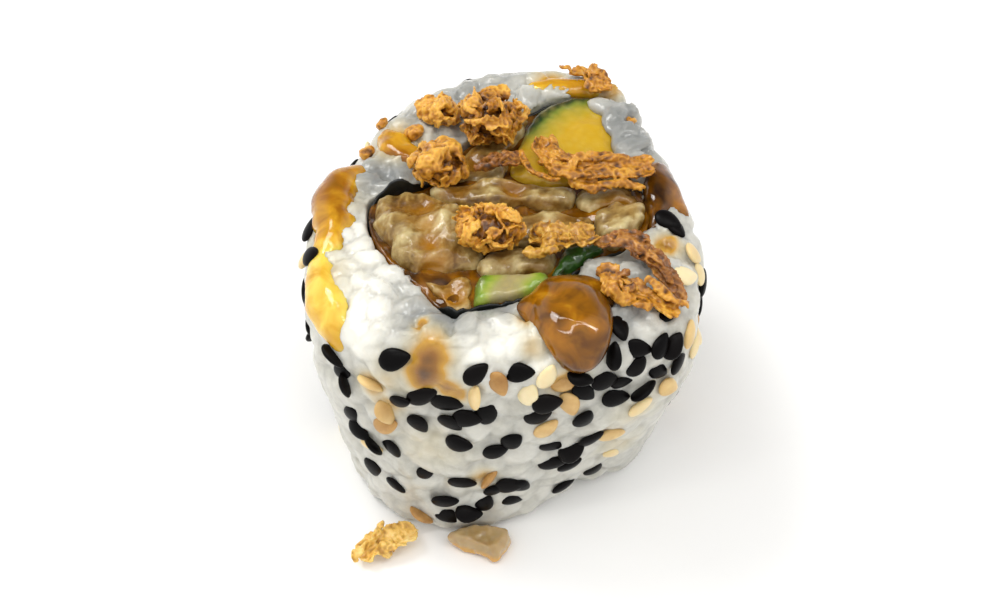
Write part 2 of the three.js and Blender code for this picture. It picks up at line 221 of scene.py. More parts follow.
def distanceTo(points, line):  # how far each point is, seen from above, from an open line, mm
    best = np.full(len(points), 1e9)
    flat = points[:, :2]
    for a, b in zip(line, line[1:]):
        a, b = np.array(a), np.array(b)
        t = np.clip(((flat - a) @ (b - a)) / ((b - a) @ (b - a)), 0, 1)
        best = np.minimum(best, np.linalg.norm(flat - (a + t[:, None] * (b - a)), axis=1))
    return best


def unitBall(detail):  # points and faces of a round body 1 mm in radius
    shape = bmesh.new()
    bmesh.ops.create_icosphere(shape, subdivisions=detail, radius=1)
    shape.verts.ensure_lookup_table()
    ball = (np.array([v.co for v in shape.verts]), [tuple(v.index for v in f.verts) for f in shape.faces])
    shape.free()
    return ball


ball = unitBall(3)


def ballAt(matrix, form=None):  # a ball stretched and placed; form reshapes it first
    points, faces = ball
    if form:
        points = form(points)
    grid = np.array(matrix)
    return points @ grid[:3, :3].T + grid[:3, 3], faces


def framed(centre, along, normal, sizes):  # puts x along a direction, z along the normal, with half sizes
    side = normal.cross(along).normalized()
    along = side.cross(normal).normalized()
    turn = Matrix((along, side, normal)).transposed().to_4x4()
    return Matrix.Translation(centre) @ turn @ Matrix.Diagonal((*sizes, 1))


def anyDirection(dice):
    return Vector([dice.gauss(0, 1) for _ in range(3)]).normalized()


def levelWith(direction, normal):  # the direction laid flat on a surface
    return (direction - normal * direction.dot(normal)).normalized()


shot = {
    "aim": (0, 0, 17),  # mm, half way up the roll
    "distance": 210,  # mm, as near as a phone that takes a close-up
    "elevation": 47.5,  # degrees above the surface
    "lens": 64,  # mm
    "sensor": 36,  # mm wide
    "clip": (0.01, 10),  # m
    "photoWidth": 1000,  # pixels
    "photoMiddle": (437, 344),  # pixel of the photograph that the view's middle shows
    "closer": 2.169,  # times larger than in the photograph
}
tilt = math.radians(shot["elevation"])
toEye = Vector((0, -math.cos(tilt), math.sin(tilt)))
upInView = Vector((0, math.sin(tilt), math.cos(tilt)))
eye = Vector(shot["aim"]) + toEye * shot["distance"]


def makeCamera():
    lens = bpy.data.cameras.new("camera")
    lens.lens, lens.sensor_width = shot["lens"], shot["sensor"]
    lens.clip_start, lens.clip_end = shot["clip"]
    camera = addObject("camera", lens)
    camera.location = (eye + rollMiddle) * metre
    camera.rotation_mode = "QUATERNION"
    camera.rotation_quaternion = (-toEye).to_track_quat("-Z", "Y")
    bpy.context.scene.camera = camera


def seenOn(tree, x, y):  # the place on a surface that a pixel of the photograph shows, and its normal
    focal = shot["lens"] / shot["sensor"] * shot["photoWidth"]
    right, down = [(v - middle) * shot["closer"] / focal for v, middle in zip((x, y), shot["photoMiddle"])]
    sight = Vector((right, 0, 0)) - upInView * down - toEye
    return tree.ray_cast(eye, sight.normalized())[:2]


stageSet = {
    "floorReach": 2.5,  # m
    "floorColours": ("#f8f8f5", "#fcfcfa"),
    "surround": (0.95, 0.16),  # strength of the light from all round, and of the dim part of the room
    "dimSide": (0, 0.68, 0.73),  # where the room is dim, up behind the roll
    "dimEdge": (0.7, 0.93),  # cosines of the angles from there between which it turns dim
    "surroundColour": "#fbfbff",
    "lit": (0, 0, 0.02),  # m, the place that the lamps face
    "lamps": [  # name, place in m, size in m, watts, colour
        ("softBox", (-0.26, 0.16, 0.5), (0.2, 0.2), 1.1, "#ffffff"),
        ("tubeNear", (0.02, -0.115, 0.42), (0.62, 0.022), 0.45, "#fffdf8"),
        ("tubeFar", (0.02, 0.035, 0.44), (0.62, 0.022), 0.45, "#fffdf8"),
    ],
}


def makeStage():
    scene = bpy.context.scene
    scene.view_settings.view_transform = "Standard"
    world = bpy.data.worlds.new("surround")
    scene.world = world
    world.use_nodes = True
    tree = world.node_tree
    surround = tree.nodes["Background"]
    surround.inputs["Color"].default_value = linear(stageSet["surroundColour"])
    bright, dim = stageSet["surround"]
    start, end = stageSet["dimEdge"]
    way = addNode(tree, "TexCoord").outputs["Generated"]
    facing = addNode(tree, "VectorMath", {0: way, 1: stageSet["dimSide"]}, operation="DOT_PRODUCT")
    fade = addNode(tree, "MapRange", {0: facing.outputs["Value"], 1: start, 2: end, 3: bright, 4: dim},
                   interpolation_type="SMOOTHSTEP")
    tree.links.new(fade.outputs[0], surround.inputs["Strength"])

    shape = bmesh.new()
    bmesh.ops.create_circle(shape, cap_ends=True, segments=96, radius=stageSet["floorReach"])
    mesh = bpy.data.meshes.new("floor")
    shape.to_mesh(mesh)
    shape.free()
    # matt laminate: plain and pale, with a barely seen unevenness
    finish, tree, shader, place = newFinish("mattLaminate", Roughness=0.55)
    grain = addNode(tree, "TexNoise", {"Vector": place, "Scale": perMetre(60), "Detail": 3})
    dull, pale = stageSet["floorColours"]
    tone = addNode(tree, "Mix", {0: grain.outputs[0], 6: dull, 7: pale}, data_type="RGBA")
    wire(tree, shader, tone.outputs[2])
    mesh.materials.append(finish)
    floor = addObject("floor", mesh)

    for name, spot, size, power, colour in stageSet["lamps"]:
        lamp = bpy.data.lights.new(name, "AREA")
        lamp.shape, lamp.size, lamp.size_y = "RECTANGLE", *size
        lamp.energy, lamp.color = power, linear(colour)[:3]
        holder = addObject(name, lamp)
        holder.location = spot
        holder.rotation_mode = "QUATERNION"
        holder.rotation_quaternion = (Vector(spot) - Vector(stageSet["lit"])).to_track_quat("Z", "Y")


makeCamera()
makeStage()
print("camera, floor and light are set")

riceSet = {
    "seed": 5,
    "length": 5.2, "width": 2.7,  # mm, a cooked short grain
    "spacing": 2.55,  # mm between the middles of neighbouring grains
    "places": 14000,  # tried one after another
    "turns": 8,  # directions tried for a grain before its place stays empty
    "tip": 0.16,  # how far a grain tips out of the surface
    "ends": 0.4,  # mm that a grain's ends may stand out
    "sunk": 0.85,  # mm that a grain's middle lies under the pressed surface
    "stand": (0.42, 0.42),  # mm that a grain stands out at the side, and where the knife cut
    "relief": (0.55, 1.1),  # share of its relief that the mat leaves at the side, and the knife on the cut
    "torn": 0.17, "tornSize": 1.3,  # mm, how rough the knife leaves the cut
    "core": 0.9,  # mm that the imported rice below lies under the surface
    "skin": 0.41,  # mm, fineness of the mesh
    "smoothing": 2,  # steps
    # x, y, z and direction in degrees of grains that lean in over the nori
    "overhang": [(12.1, 16.8, 33.1, 150), (13.6, 15.4, 33.3, 60), (12.9, 13.8, 33.2, 100),
                 (14.6, 12.6, 33.5, 140), (13.7, 10.9, 33.2, 85), (15.3, 9.8, 33.5, 30),
                 (14.4, 8, 33.1, 120), (15.6, 6.6, 33.3, 80)],
    "overhangHalves": (2.4, 1.25, 0.85),  # mm, their half sizes
    "overhangReach": 3,  # mm round them where nothing is pressed
}
riceFrame = cadMesh("rice")
riceTree = treeOf(riceFrame)
noriTree = treeOf(cadMesh("nori"))


def onRice(marks):  # (pixel x, pixel y, reach in mm, strength) to a spot on the pressed rice
    return [(*seenOn(riceTree, x, y)[0], reach, much) for x, y, reach, much in marks]


# where the rice is painted white as a highlight, and where it is wet and grey
highlightPatches = onRice([(371, 310, 2.2, 0.8), (374, 322, 3, 0.9), (376, 335, 3.4, 0.9), (374, 348, 3.6, 1),
                   (371, 360, 2.6, 1), (437, 361, 2.4, 1), (428, 366, 2, 0.9), (446, 357, 1.6, 0.9),
                   (455, 372.5, 1, 1), (450, 243, 2.2, 0.4)])
wetGrey = onRice([(384, 284, 3, 0.9), (396, 278, 2.2, 0.8), (379, 300, 1.6, 0.7), (386, 336, 2, 0.8),
                  (396, 349, 2.4, 0.9), (412, 350, 2.4, 0.9), (424, 347, 2.4, 1), (436, 345, 2.2, 1),
                  (493, 270, 3.6, 1), (487, 258, 2.8, 0.8), (450, 240, 5, 0.5), (420, 246, 4, 0.5),
                  (503, 336, 2, 0.7), (492, 350, 2.4, 0.7)])
wetGrey += [(13.6, 12.4, 33.5, 6, 1)]  # the grains that lean in over the nori, in mm
# where sauce has soaked in: seen in the photograph, then guessed at the sides and the back in mm
stained = onRice([(403, 376, 2.2, 1), (404, 369, 2.3, 0.8), (404, 362, 2, 0.5), (412.5, 382, 1.5, 0.8),
                  (417, 385, 1.3, 0.6), (388.5, 378, 3, 0.22), (378.5, 381, 1.8, 0.4), (385, 391, 2, 0.34),
                  (406, 409, 4, 0.14), (401, 353.5, 1, 0.6), (450.5, 351, 1.6, 0.36), (453, 363, 1.6, 0.3),
                  (467, 379.5, 2.2, 0.5), (500.5, 394.5, 3.4, 0.16), (491.5, 408, 3, 0.2),
                  (429, 423, 1.6, 0.34), (514, 317, 1.6, 0.6), (356, 300, 3.4, 0.5), (353, 335, 3.4, 0.4)])
stained += [(-12, 11, 33.5, 2.6, 0.6), (12.5, 21, 32, 2.6, 0.5), (6, 22.5, 32, 2.2, 0.5),
            (18, 14, 22, 3, 0.4), (-19, 6, 22, 2.6, 0.4), (-8, 22, 26, 2.6, 0.5),
            (2, 25, 14, 2.6, 0.3), (21, 0, 12, 3, 0.25)]


def grainForm(p):  # blunt ends and a little belly
    x, y, z = p.T
    return np.stack([x, y * (1.04 - 0.12 * x), z * (1 - 0.1 * x * x)], axis=1)


def riceSpots(dice):  # evenly spread places on the rice's outside, rim and cut face
    areas, spots = [], []
    for face in riceFrame.polygons:  # none on the foot or on the wall that the nori covers
        wall = noriTree.find_nearest(face.center)[3] < 0.7 and abs(face.normal.z) < 0.6
        areas.append(0 if wall or face.normal.z < -0.8 else face.area)
    taken = np.empty((0, 3))
    for index in dice.choices(range(len(areas)), areas, k=riceSet["places"]):
        face = riceFrame.polygons[index]
        a, b, c = [riceFrame.vertices[v].co for v in face.vertices[:3]]
        u, v = sorted((dice.random(), dice.random()))
        spot = a * u + b * (v - u) + c * (1 - v)
        gap = riceSet["spacing"] * dice.uniform(0.85, 1.15)
        if len(taken) and np.min(np.sum((taken - np.array(spot)) ** 2, axis=1)) < gap * gap:
            continue
        taken = np.vstack((taken, np.array(spot)))
        spots.append((spot, face.normal.copy()))
    return spots


def standing(p):  # mm that a point stands out of the pressed rice, less than 0 inside
    near, normal, _, _ = riceTree.find_nearest(p)
    return (p - near).dot(normal)


def makeRice():
    dice = random.Random(riceSet["seed"])
    core = riceFrame.copy()
    points, normals = pointsOf(core), normalsOf(core)
    inward = np.array([noriTree.find_nearest(Vector(p))[3] > 0.8 for p in points])
    points -= normals * (riceSet["core"] * inward)[:, None]
    half, width = riceSet["length"] / 2, riceSet["width"] / 2
    grains = []  # each one's place, direction and half sizes
    for spot, normal in riceSpots(dice):
        for _ in range(riceSet["turns"]):
            along = levelWith(anyDirection(dice), normal)
            along = (along + normal * dice.gauss(0, riceSet["tip"])).normalized()
            sizes = [side * dice.uniform(*spread) for side, spread in
                     ((half, (0.82, 1.1)), (width, (0.88, 1.1)), (width, (0.85, 1)))]
            middle = spot - normal * riceSet["sunk"] * dice.uniform(0.6, 1.4)
            if max(standing(middle + along * end * (sizes[0] - 0.7)) for end in (-1, 1)) < riceSet["ends"]:
                grains.append(framed(middle, along, normal, sizes))
                break
    for x, y, z, turn in riceSet["overhang"]:
        turn = math.radians(turn)
        along = Vector((math.cos(turn), math.sin(turn), dice.uniform(-0.15, 0.15)))
        lean = (up + anyDirection(dice) * 0.35).normalized()
        sizes = [v * dice.uniform(0.75, 1.1) for v in riceSet["overhangHalves"]]
        grains.append(framed(Vector((x, y, z)), along, lean, sizes))
    bodies = [(points, [tuple(f.vertices) for f in core.polygons])]
    bodies += [ballAt(matrix, grainForm) for matrix in grains]
    mesh = worked(meshOf(bodies), riceSet["skin"], riceSet["smoothing"])

    # the knife flattens the cut face and the mat presses the side
    points = pointsOf(mesh)
    cut = np.zeros(len(points))
    for i, p in enumerate(points):
        p = Vector(p)
        near, normal, _, _ = riceTree.find_nearest(p)
        stand = (p - near).dot(normal)
        cut[i] = max(0, min(1, (normal.z - 0.8) / 0.15))
        limit, relief = [side * (1 - cut[i]) + top * cut[i]
                         for side, top in (riceSet["stand"], riceSet["relief"])]
        level = min(stand, limit + 0.25 * (stand - limit)) * relief
        away = min((p.xy - Vector(spot[:2])).length for spot in riceSet["overhang"])
        if away > riceSet["overhangReach"]:
            points[i] = p + normal * (level - stand)
    torn = riceSet["torn"] * cut * (1 - 2.4 * np.abs(blur(points, riceSet["tornSize"], 6, 3)))
    points += normalsOf(mesh) * (torn + 0.05 * blur(points, 0.9, 3))[:, None]
    movePoints(mesh, points)

    # which grain a point belongs to, and how deep in the crease between two grains it lies, for the painted
    # shade there
    finder = KDTree(len(grains))
    for i, matrix in enumerate(grains):
        finder.insert(matrix.translation, i)
    finder.balance()
    turns = [matrix.inverted() for matrix in grains]
    tones = [dice.random() for _ in grains]
    tone, creaseShade = np.zeros(len(points)), np.zeros(len(points))
    for i, p in enumerate(points):
        p = Vector(p)
        depths = sorted(((turns[k] @ p).length, k) for _, k, _ in finder.find_n(p, 5))
        tone[i] = tones[depths[0][1]]
        creaseShade[i] = (1 - min(1, (depths[1][0] - depths[0][0]) / 0.35)) ** 1.5
    # painted highlight: white patches where the rim catches the light
    dry = nearness(points, highlightPatches)
    wet = nearness(points, wetGrey) * (1 - 0.7 * dry)
    store(mesh, "grainTone", tone)
    # painted shade in the creases between grains, stronger on the cut face
    store(mesh, "creaseShade", creaseShade * (0.5 + 0.5 * cut))
    store(mesh, "dry", dry)
    store(mesh, "wet", wet + 0.3 * cut * (1 - dry))
    store(mesh, "sauced", nearness(points, stained) * (1 + 0.35 * blur(points, 2.2, 8)))
    return mesh


# cooked sushi rice: starchy, translucent grains that turn grey where they are wet, painted white as a
# highlight on the lit rim and painted darker as shade in the creases between grains
riceFinish, tree, shader, place = newFinish(
    "steamedRice", Subsurface_Weight=0.7, Subsurface_Scale=metre, Subsurface_Radius=(1.1, 1, 0.85), IOR=1.4,
    Coat_Weight=0.35, Coat_Roughness=0.1)
values = {name: addNode(tree, "Attribute", attribute_name=name).outputs["Fac"]
          for name in ("grainTone", "creaseShade", "dry", "wet", "sauced")}
cloud = addNode(tree, "TexNoise", {"Vector": place, "Scale": perMetre(1.4), "Detail": 4, "Roughness": 0.6})
grain = addNode(tree, "Mix", {0: values["grainTone"], 6: "#b5b3a7", 7: "#cbc9be"}, data_type="RGBA")
milky = addNode(tree, "MapRange", {0: cloud.outputs[0], 1: 0.4, 2: 0.75, 3: 0, 4: 0.6})
whole = addNode(tree, "Mix", {0: milky.outputs[0], 6: grain.outputs[2], 7: "#dddbd0"}, data_type="RGBA")
# painted shade: the creases between grains are painted darker
creaseShadeShare = addNode(tree, "Math", {0: values["creaseShade"], 1: 0.55}, operation="MULTIPLY")
creaseShaded = addNode(tree, "Mix", {0: creaseShadeShare.outputs[0], 6: whole.outputs[2], 7: "#87857b"}, data_type="RGBA")
damp = addNode(tree, "Math", {0: values["wet"], 1: 0.8}, operation="MULTIPLY")
wetted = addNode(tree, "Mix", {0: damp.outputs[0], 6: creaseShaded.outputs[2], 7: "#7f8281"}, data_type="RGBA")
# painted highlight colour: white, with painted shade in the creases
bright = addNode(tree, "Mix", {0: creaseShadeShare.outputs[0], 6: "#f6f4e8", 7: "#b5b2a6"}, data_type="RGBA")
highlighted = addNode(tree, "Mix", {0: values["dry"], 6: wetted.outputs[2], 7: bright.outputs[2]},
                   data_type="RGBA")
soaked = addNode(tree, "MapRange", {0: values["sauced"], 1: 0.02, 2: 0.4, 3: 0, 4: 0.95})
stain = addNode(tree, "ValToRGB", {0: values["sauced"]},
                [(0.1, "#d8ca9a"), (1, "#5e3804"), (0.4, "#c4942a"), (0.72, "#95620a")])
tinted = addNode(tree, "Mix", {0: soaked.outputs[0], 6: highlighted.outputs[2], 7: stain.outputs[0]},
                 data_type="RGBA")
gloss = addNode(tree, "MapRange", {0: values["wet"], 3: 0.36, 4: 0.15})
pitted = addNode(tree, "TexNoise", {"Vector": place, "Scale": perMetre(0.5), "Detail": 3})
wire(tree, shader, tinted.outputs[2], gloss.outputs[0], pitted.outputs[0], 0.14, 0.5)

riceMesh = makeRice()
riceSkin = treeOf(riceMesh)  # in mm, for what lies on the rice
ricePoints, riceFaces = bodyOf(riceMesh)
settle("riceRing", riceMesh, riceFinish, ["rice"])
print("rice has", len(riceFaces), "faces")

noriSet = {
    "thickness": 0.36,
    "sunk": 0.5,  # mm that its edge lies below the cut
    "ragged": 0.3,  # mm, unevenness of the cut edge
    "wander": 0.6,  # mm, how its edge rises and dips along the way
    "foot": 0.2,  # mm above the floor
    "steps": 300, "levels": 26,  # points round it and up it
    # x, y, reach and mm that it stands higher, or lower where the rice and filling close over it
    "raised": [(-11.6, 3.4, 2.4, 2), (13.9, 6, 3.2, 1), (-5, -15, 1.6, 1.2), (2.4, -12.9, 3, 0.6),
               (-12.8, -3, 3.4, -2), (-11.6, -8, 3.4, -2.2), (-8.4, -12, 2.4, -2), (13, 14, 4, -1.2),
               (16.4, 0, 4, -1), (-4, 11.2, 4, -0.8)],
    "seed": 3,
}


def noriWall(angle):  # middle line of the sheet at an angle, and the height of its cut edge
    out = Vector((math.cos(angle), math.sin(angle), 0))
    start = rollAxis + up * 16
    inner = noriTree.ray_cast(start, out)[3]
    outer = inner + noriTree.ray_cast(start + out * (inner + 0.02), out)[3]
    middle = rollAxis + out * (inner + outer) / 2
    return middle, noriTree.ray_cast(middle + overhead, -up)[0].z


def noriEdge(spot, top):  # the height of the sheet's torn edge
    top -= noriSet["sunk"]
    for x, y, reach, rise in noriSet["raised"]:
        top += rise * math.exp(-((spot.x - x) ** 2 + (spot.y - y) ** 2) / reach ** 2)
    shift = Vector((0, 0, noriSet["seed"]))
    top += noriSet["wander"] * (noise.noise(spot / 3.2 + shift) - 0.25)
    return top + noriSet["ragged"] * noise.fractal(spot / 1.1 + shift, 1, 2, 3)


def makeNori():
    foot, steps, levels = [noriSet[key] for key in ("foot", "steps", "levels")]
    line = [noriWall(2 * math.pi * i / steps) for i in range(steps)]
    points, faces = [], []
    for i, (middle, top) in enumerate(line):
        ahead = line[(i + 1) % steps][0] - line[i - 1][0]
        out = Vector((ahead.y, -ahead.x, 0)).normalized()
        top = noriEdge(middle, top)
        for side in (-1, 1):
            for k in range(levels + 1):
                z = foot + (top - foot) * (1 - (1 - k / levels) ** 1.6)
                thin = 0.4 * max(0, min(1, (z - top + 0.6) / 0.6))
                shift = 0.2 * noise.fractal(Vector((middle.x, middle.y, z * 0.4)) / 2.2, 1, 2, 2)
                across = shift + side * noriSet["thickness"] / 2 * (1 - thin)
                points.append(Vector((middle.x, middle.y, z)) + out * across)
    count = levels + 1
    for i in range(steps):
        a, b = 2 * count * i, 2 * count * ((i + 1) % steps)
        for k in range(levels):
            faces.append((a + k, a + k + 1, b + k + 1, b + k))
            faces.append((a + count + k, b + count + k, b + count + k + 1, a + count + k + 1))
        faces.append((a + levels, a + count + levels, b + count + levels, b + levels))
        faces.append((a, b, b + count, a + count))
    return turnedOut(meshOf([(points, faces)]))


# toasted laver: a thin pressed seaweed sheet, nearly black, with a green cast and a damp shine
noriFinish, tree, shader, place = newFinish("toastedNori", IOR=1.4, Coat_Weight=0.3, Coat_Roughness=0.2)
fibre = addNode(tree, "TexNoise", {"Vector": place, "Scale": perMetre(0.8), "Detail": 6, "Roughness": 0.7})
colour = addNode(tree, "Mix", {0: fibre.outputs[0], 6: "#08090b", 7: "#161c1a"}, data_type="RGBA")
gloss = addNode(tree, "MapRange", {0: fibre.outputs[0], 3: 0.25, 4: 0.5})
wire(tree, shader, colour.outputs[2], gloss.outputs[0], fibre.outputs[0], 0.1, 0.6)
settle("noriSheet", makeNori(), noriFinish, ["nori"])
print("nori is made")

chickenSet = {
    "skin": 0.33,
    "rounding": 12,  # steps of smoothing at the edges
    "lump": 0.75, "lumpSize": 3.2,  # mm
    "strand": 0.1, "strandSize": 0.9,  # mm, bundles of muscle fibre
    "bead": 0.06, "beadSize": 0.6,  # mm, the meat's moist, broken surface
    # piece: rise in mm, direction of its fibres in degrees, how much sauce it took
    "pieces": {
        "chicken_left": (0.5, 75, 0.2), "chicken_front": (-0.3, 20, 0.55), "chicken_centre": (0, 5, 0.35),
        "chicken_middle": (0.2, 12, 0.3), "chicken_strip": (0.5, 4, 0.3), "chicken_right": (0.7, 35, 0.15),
        "chicken_side": (-0.4, 40, 0.8), "chicken_back": (-0.2, 50, 0.55),
    },
    # x, y, z, reach and strength of the hollows that sauce runs in
    "channel": [(-8.3, -0.6, 34, 1.6, 1), (-8, -3.6, 34.5, 1.5, 1), (-7.7, -6.4, 34, 1.5, 1),
                (-7.2, -9, 33, 1.8, 1), (-5.2, -12.6, 32, 1.6, 0.8), (6, -3.6, 33, 1.8, 0.9),
                (1.5, 2.4, 33, 1.4, 0.8), (14, 0.5, 33, 1.3, 1)],
}


def makeFilling(node, skin, rise, rounding):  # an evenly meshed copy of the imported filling, edges softened
    mesh = worked(cadMesh(node), skin, rounding)
    points = pointsOf(mesh)
    top = points[:, 2].max()
    upper = smoothStep(top - 8, top - 1, points[:, 2])
    points[:, 2] += rise * upper
    return mesh, points, upper


def makeChicken(node, rise, turn, sauce, seed):  # its fibres lie along the turn
    mesh, points, upper = makeFilling(node, chickenSet["skin"], rise, chickenSet["rounding"])
    normals = normalsOf(mesh)
    across = Vector((math.cos(math.radians(turn)), math.sin(math.radians(turn)), 0))
    other = across.cross(up)
    lined = np.stack([points @ np.array(across) * 0.25, points @ np.array(other), points[:, 2] * 0.4], axis=1)
    lined += 0.5 * crumple(points, 2.4, seed)
    strands = 1 - 2.4 * np.abs(blur(lined, chickenSet["strandSize"], seed, 2))
    lumps = blur(points, chickenSet["lumpSize"], seed + 3, 2)
    beads = blur(points, chickenSet["beadSize"], seed + 9, 3)
    channel = nearness(points, chickenSet["channel"])
    pooled = blur(points, 2.4, seed + 5, 2)
    rough = chickenSet["strand"] * strands + chickenSet["bead"] * beads
    push = upper * (chickenSet["lump"] * lumps + rough * (1 - 0.8 * channel) - 0.8 * channel)
    movePoints(mesh, points + normals * push[:, None])
    # painted light and shade: lumps and fibres lighter, hollows darker
    store(mesh, "lit", 0.45 + 0.22 * strands + 0.25 * beads + 0.5 * lumps)
    store(mesh, "sauced", 0.4 * sauce - 0.06 + 0.9 * channel - 0.2 * lumps + 0.3 * pooled)
    return mesh


# stewed chicken thigh: pale, moist meat with loose fibres, glazed brown where the sauce ran in, painted
# lighter on its lumps and darker in its hollows as light and shade
chickenFinish, tree, shader, place = newFinish(
    "stewedChicken", Subsurface_Weight=0.25, Subsurface_Scale=metre, Subsurface_Radius=(1, 0.7, 0.35),
    IOR=1.4, Specular_IOR_Level=0.3, Coat_Weight=0.5, Coat_Roughness=0.05)
lit = addNode(tree, "Attribute", attribute_name="lit").outputs["Fac"]
sauced = addNode(tree, "Attribute", attribute_name="sauced").outputs["Fac"]
mottle = addNode(tree, "TexNoise", {"Vector": place, "Scale": perMetre(0.9), "Detail": 5, "Roughness": 0.65})
level = addNode(tree, "Mix", {0: 0.35, 2: lit, 3: mottle.outputs[0]})
# the meat's colour with painted shade in the hollows and painted light on the lumps
shadedMeat = addNode(tree, "ValToRGB", {0: level.outputs[0]},
               [(0.15, "#3a260e"), (0.82, "#c8b682"), (0.35, "#6c4f22"), (0.57, "#987d46")])
glazed = addNode(tree, "Mix", {0: sauced, 6: shadedMeat.outputs[0], 7: "#a56d0e"}, data_type="RGBA")
gloss = addNode(tree, "MapRange", {0: sauced, 3: 0.34, 4: 0.1})
fine = addNode(tree, "TexNoise", {"Vector": place, "Scale": perMetre(0.4), "Detail": 4})
wire(tree, shader, glazed.outputs[2], gloss.outputs[0], fine.outputs[0], 0.15, 0.5)
for seed, (node, (rise, turn, sauce)) in enumerate(chickenSet["pieces"].items()):
    mesh = makeChicken(node, rise, turn, sauce, seed + 2)
    settle(pieceName(node), mesh, chickenFinish, [node])
print("chicken is made")

cucumberSet = {
    "skin": 0.33, "rounding": 4,
    "dimple": 0.2, "dimpleSize": 1.8,  # mm
    "ridge": 0.35, "ridgeWidth": 0.8,  # mm that the rind stands up, and how far in
    # stick: lines of x and y that its rind follows, mm from there to the plain flesh, rise in mm, seed
    "sticks": {
        "cucumber_large": ([[(3.4, 12.8), (4.6, 14.8), (6.3, 16.7), (8.5, 18.1), (10.7, 18.6)]], 3.9, 0.3, 4),
        "cucumber_small": ([[(-2.6, -13.6), (-2.5, -12), (-1.4, -10.3)],
                            [(4.6, -9.8), (5.2, -10.9), (3.6, -12)]], 2.4, 0.2, 6),
    },
}


def makeCucumber(node, rinds, width, rise, seed):
    mesh, points, upper = makeFilling(node, cucumberSet["skin"], rise, cucumberSet["rounding"])
    depth = np.min([distanceTo(points, rind) for rind in rinds], axis=0)
    dimples = cucumberSet["dimple"] * blur(points, cucumberSet["dimpleSize"], seed, 2)
    ridge = cucumberSet["ridge"] * np.exp(-depth / cucumberSet["ridgeWidth"])
    points += normalsOf(mesh) * (upper * (dimples + ridge))[:, None]
    movePoints(mesh, points)
    store(mesh, "rind", 1 - depth / width + 0.1 * blur(points, 1.3, seed + 4, 2))
    return mesh


# raw cucumber: dark waxy skin over wet flesh that turns from green to pale, yellowed by the sauce on it
def cucumberFinish(name, stops):
    finish, tree, shader, place = newFinish(
        name, Subsurface_Weight=0.35, Subsurface_Scale=metre, Subsurface_Radius=(1.2, 1.3, 0.5), IOR=1.36,
        Coat_Weight=0.5, Coat_Roughness=0.05, Roughness=0.26)
    rind = addNode(tree, "Attribute", attribute_name="rind").outputs["Fac"]
    ramp = addNode(tree, "ValToRGB", {0: rind}, stops)
    cells = addNode(tree, "TexVoronoi", {"Vector": place, "Scale": perMetre(0.9)})
    pale = addNode(tree, "MapRange", {0: cells.outputs[0], 3: 0.22, 4: 0})
    mottled = addNode(tree, "Mix", {0: pale.outputs[0], 6: ramp.outputs[0], 7: "#d6bf62"}, data_type="RGBA")
    fine = addNode(tree, "TexNoise", {"Vector": place, "Scale": perMetre(0.9), "Detail": 3})
    wire(tree, shader, mottled.outputs[2], None, fine.outputs[0], 0.25, 0.4)
    return finish


cucumberFinishes = {
    "cucumber_large": cucumberFinish("cucumberInSauce", [
        (0, "#c69d1a"), (1, "#0b1608"), (0.3, "#b79a22"), (0.55, "#a3932c"), (0.76, "#6b7c26"),
        (0.9, "#1d3a12")]),
    "cucumber_small": cucumberFinish("paleCucumber", [
        (0, "#9b9066"), (1, "#3c5f12"), (0.3, "#9f9a64"), (0.55, "#8f9f42"), (0.8, "#6f9420")]),
}
for node, (rinds, width, rise, seed) in cucumberSet["sticks"].items():
    mesh = makeCucumber(node, rinds, width, rise, seed)
    settle(pieceName(node), mesh, cucumberFinishes[node], [node])

# wet salad leaf: dark green and glossy, with lighter veins
leafFinish, tree, shader, place = newFinish(
    "wetLeaf", IOR=1.4, Coat_Weight=0.9, Coat_Roughness=0.05, Roughness=0.3)
veins = addNode(tree, "TexNoise", {"Vector": place, "Scale": perMetre(1.2), "Detail": 4, "Distortion": 1.5})
green = addNode(tree, "Mix", {0: veins.outputs[0], 6: "#0f270b", 7: "#3c6a22"}, data_type="RGBA")
wire(tree, shader, green.outputs[2], None, veins.outputs[0], 0.2, 0.6)
leafSet = {"skin": 0.22, "rise": 0.2, "rounding": 3, "wrinkle": 0.3, "wrinkleSize": 1.4, "seed": 5}
mesh, points, upper = makeFilling("leaf", leafSet["skin"], leafSet["rise"], leafSet["rounding"])
wrinkles = leafSet["wrinkle"] * blur(points, leafSet["wrinkleSize"], leafSet["seed"], 2)
movePoints(mesh, points + normalsOf(mesh) * (upper * wrinkles)[:, None])
settle("leafFold", mesh, leafFinish, ["leaf"])
print("cucumber and leaf are made")

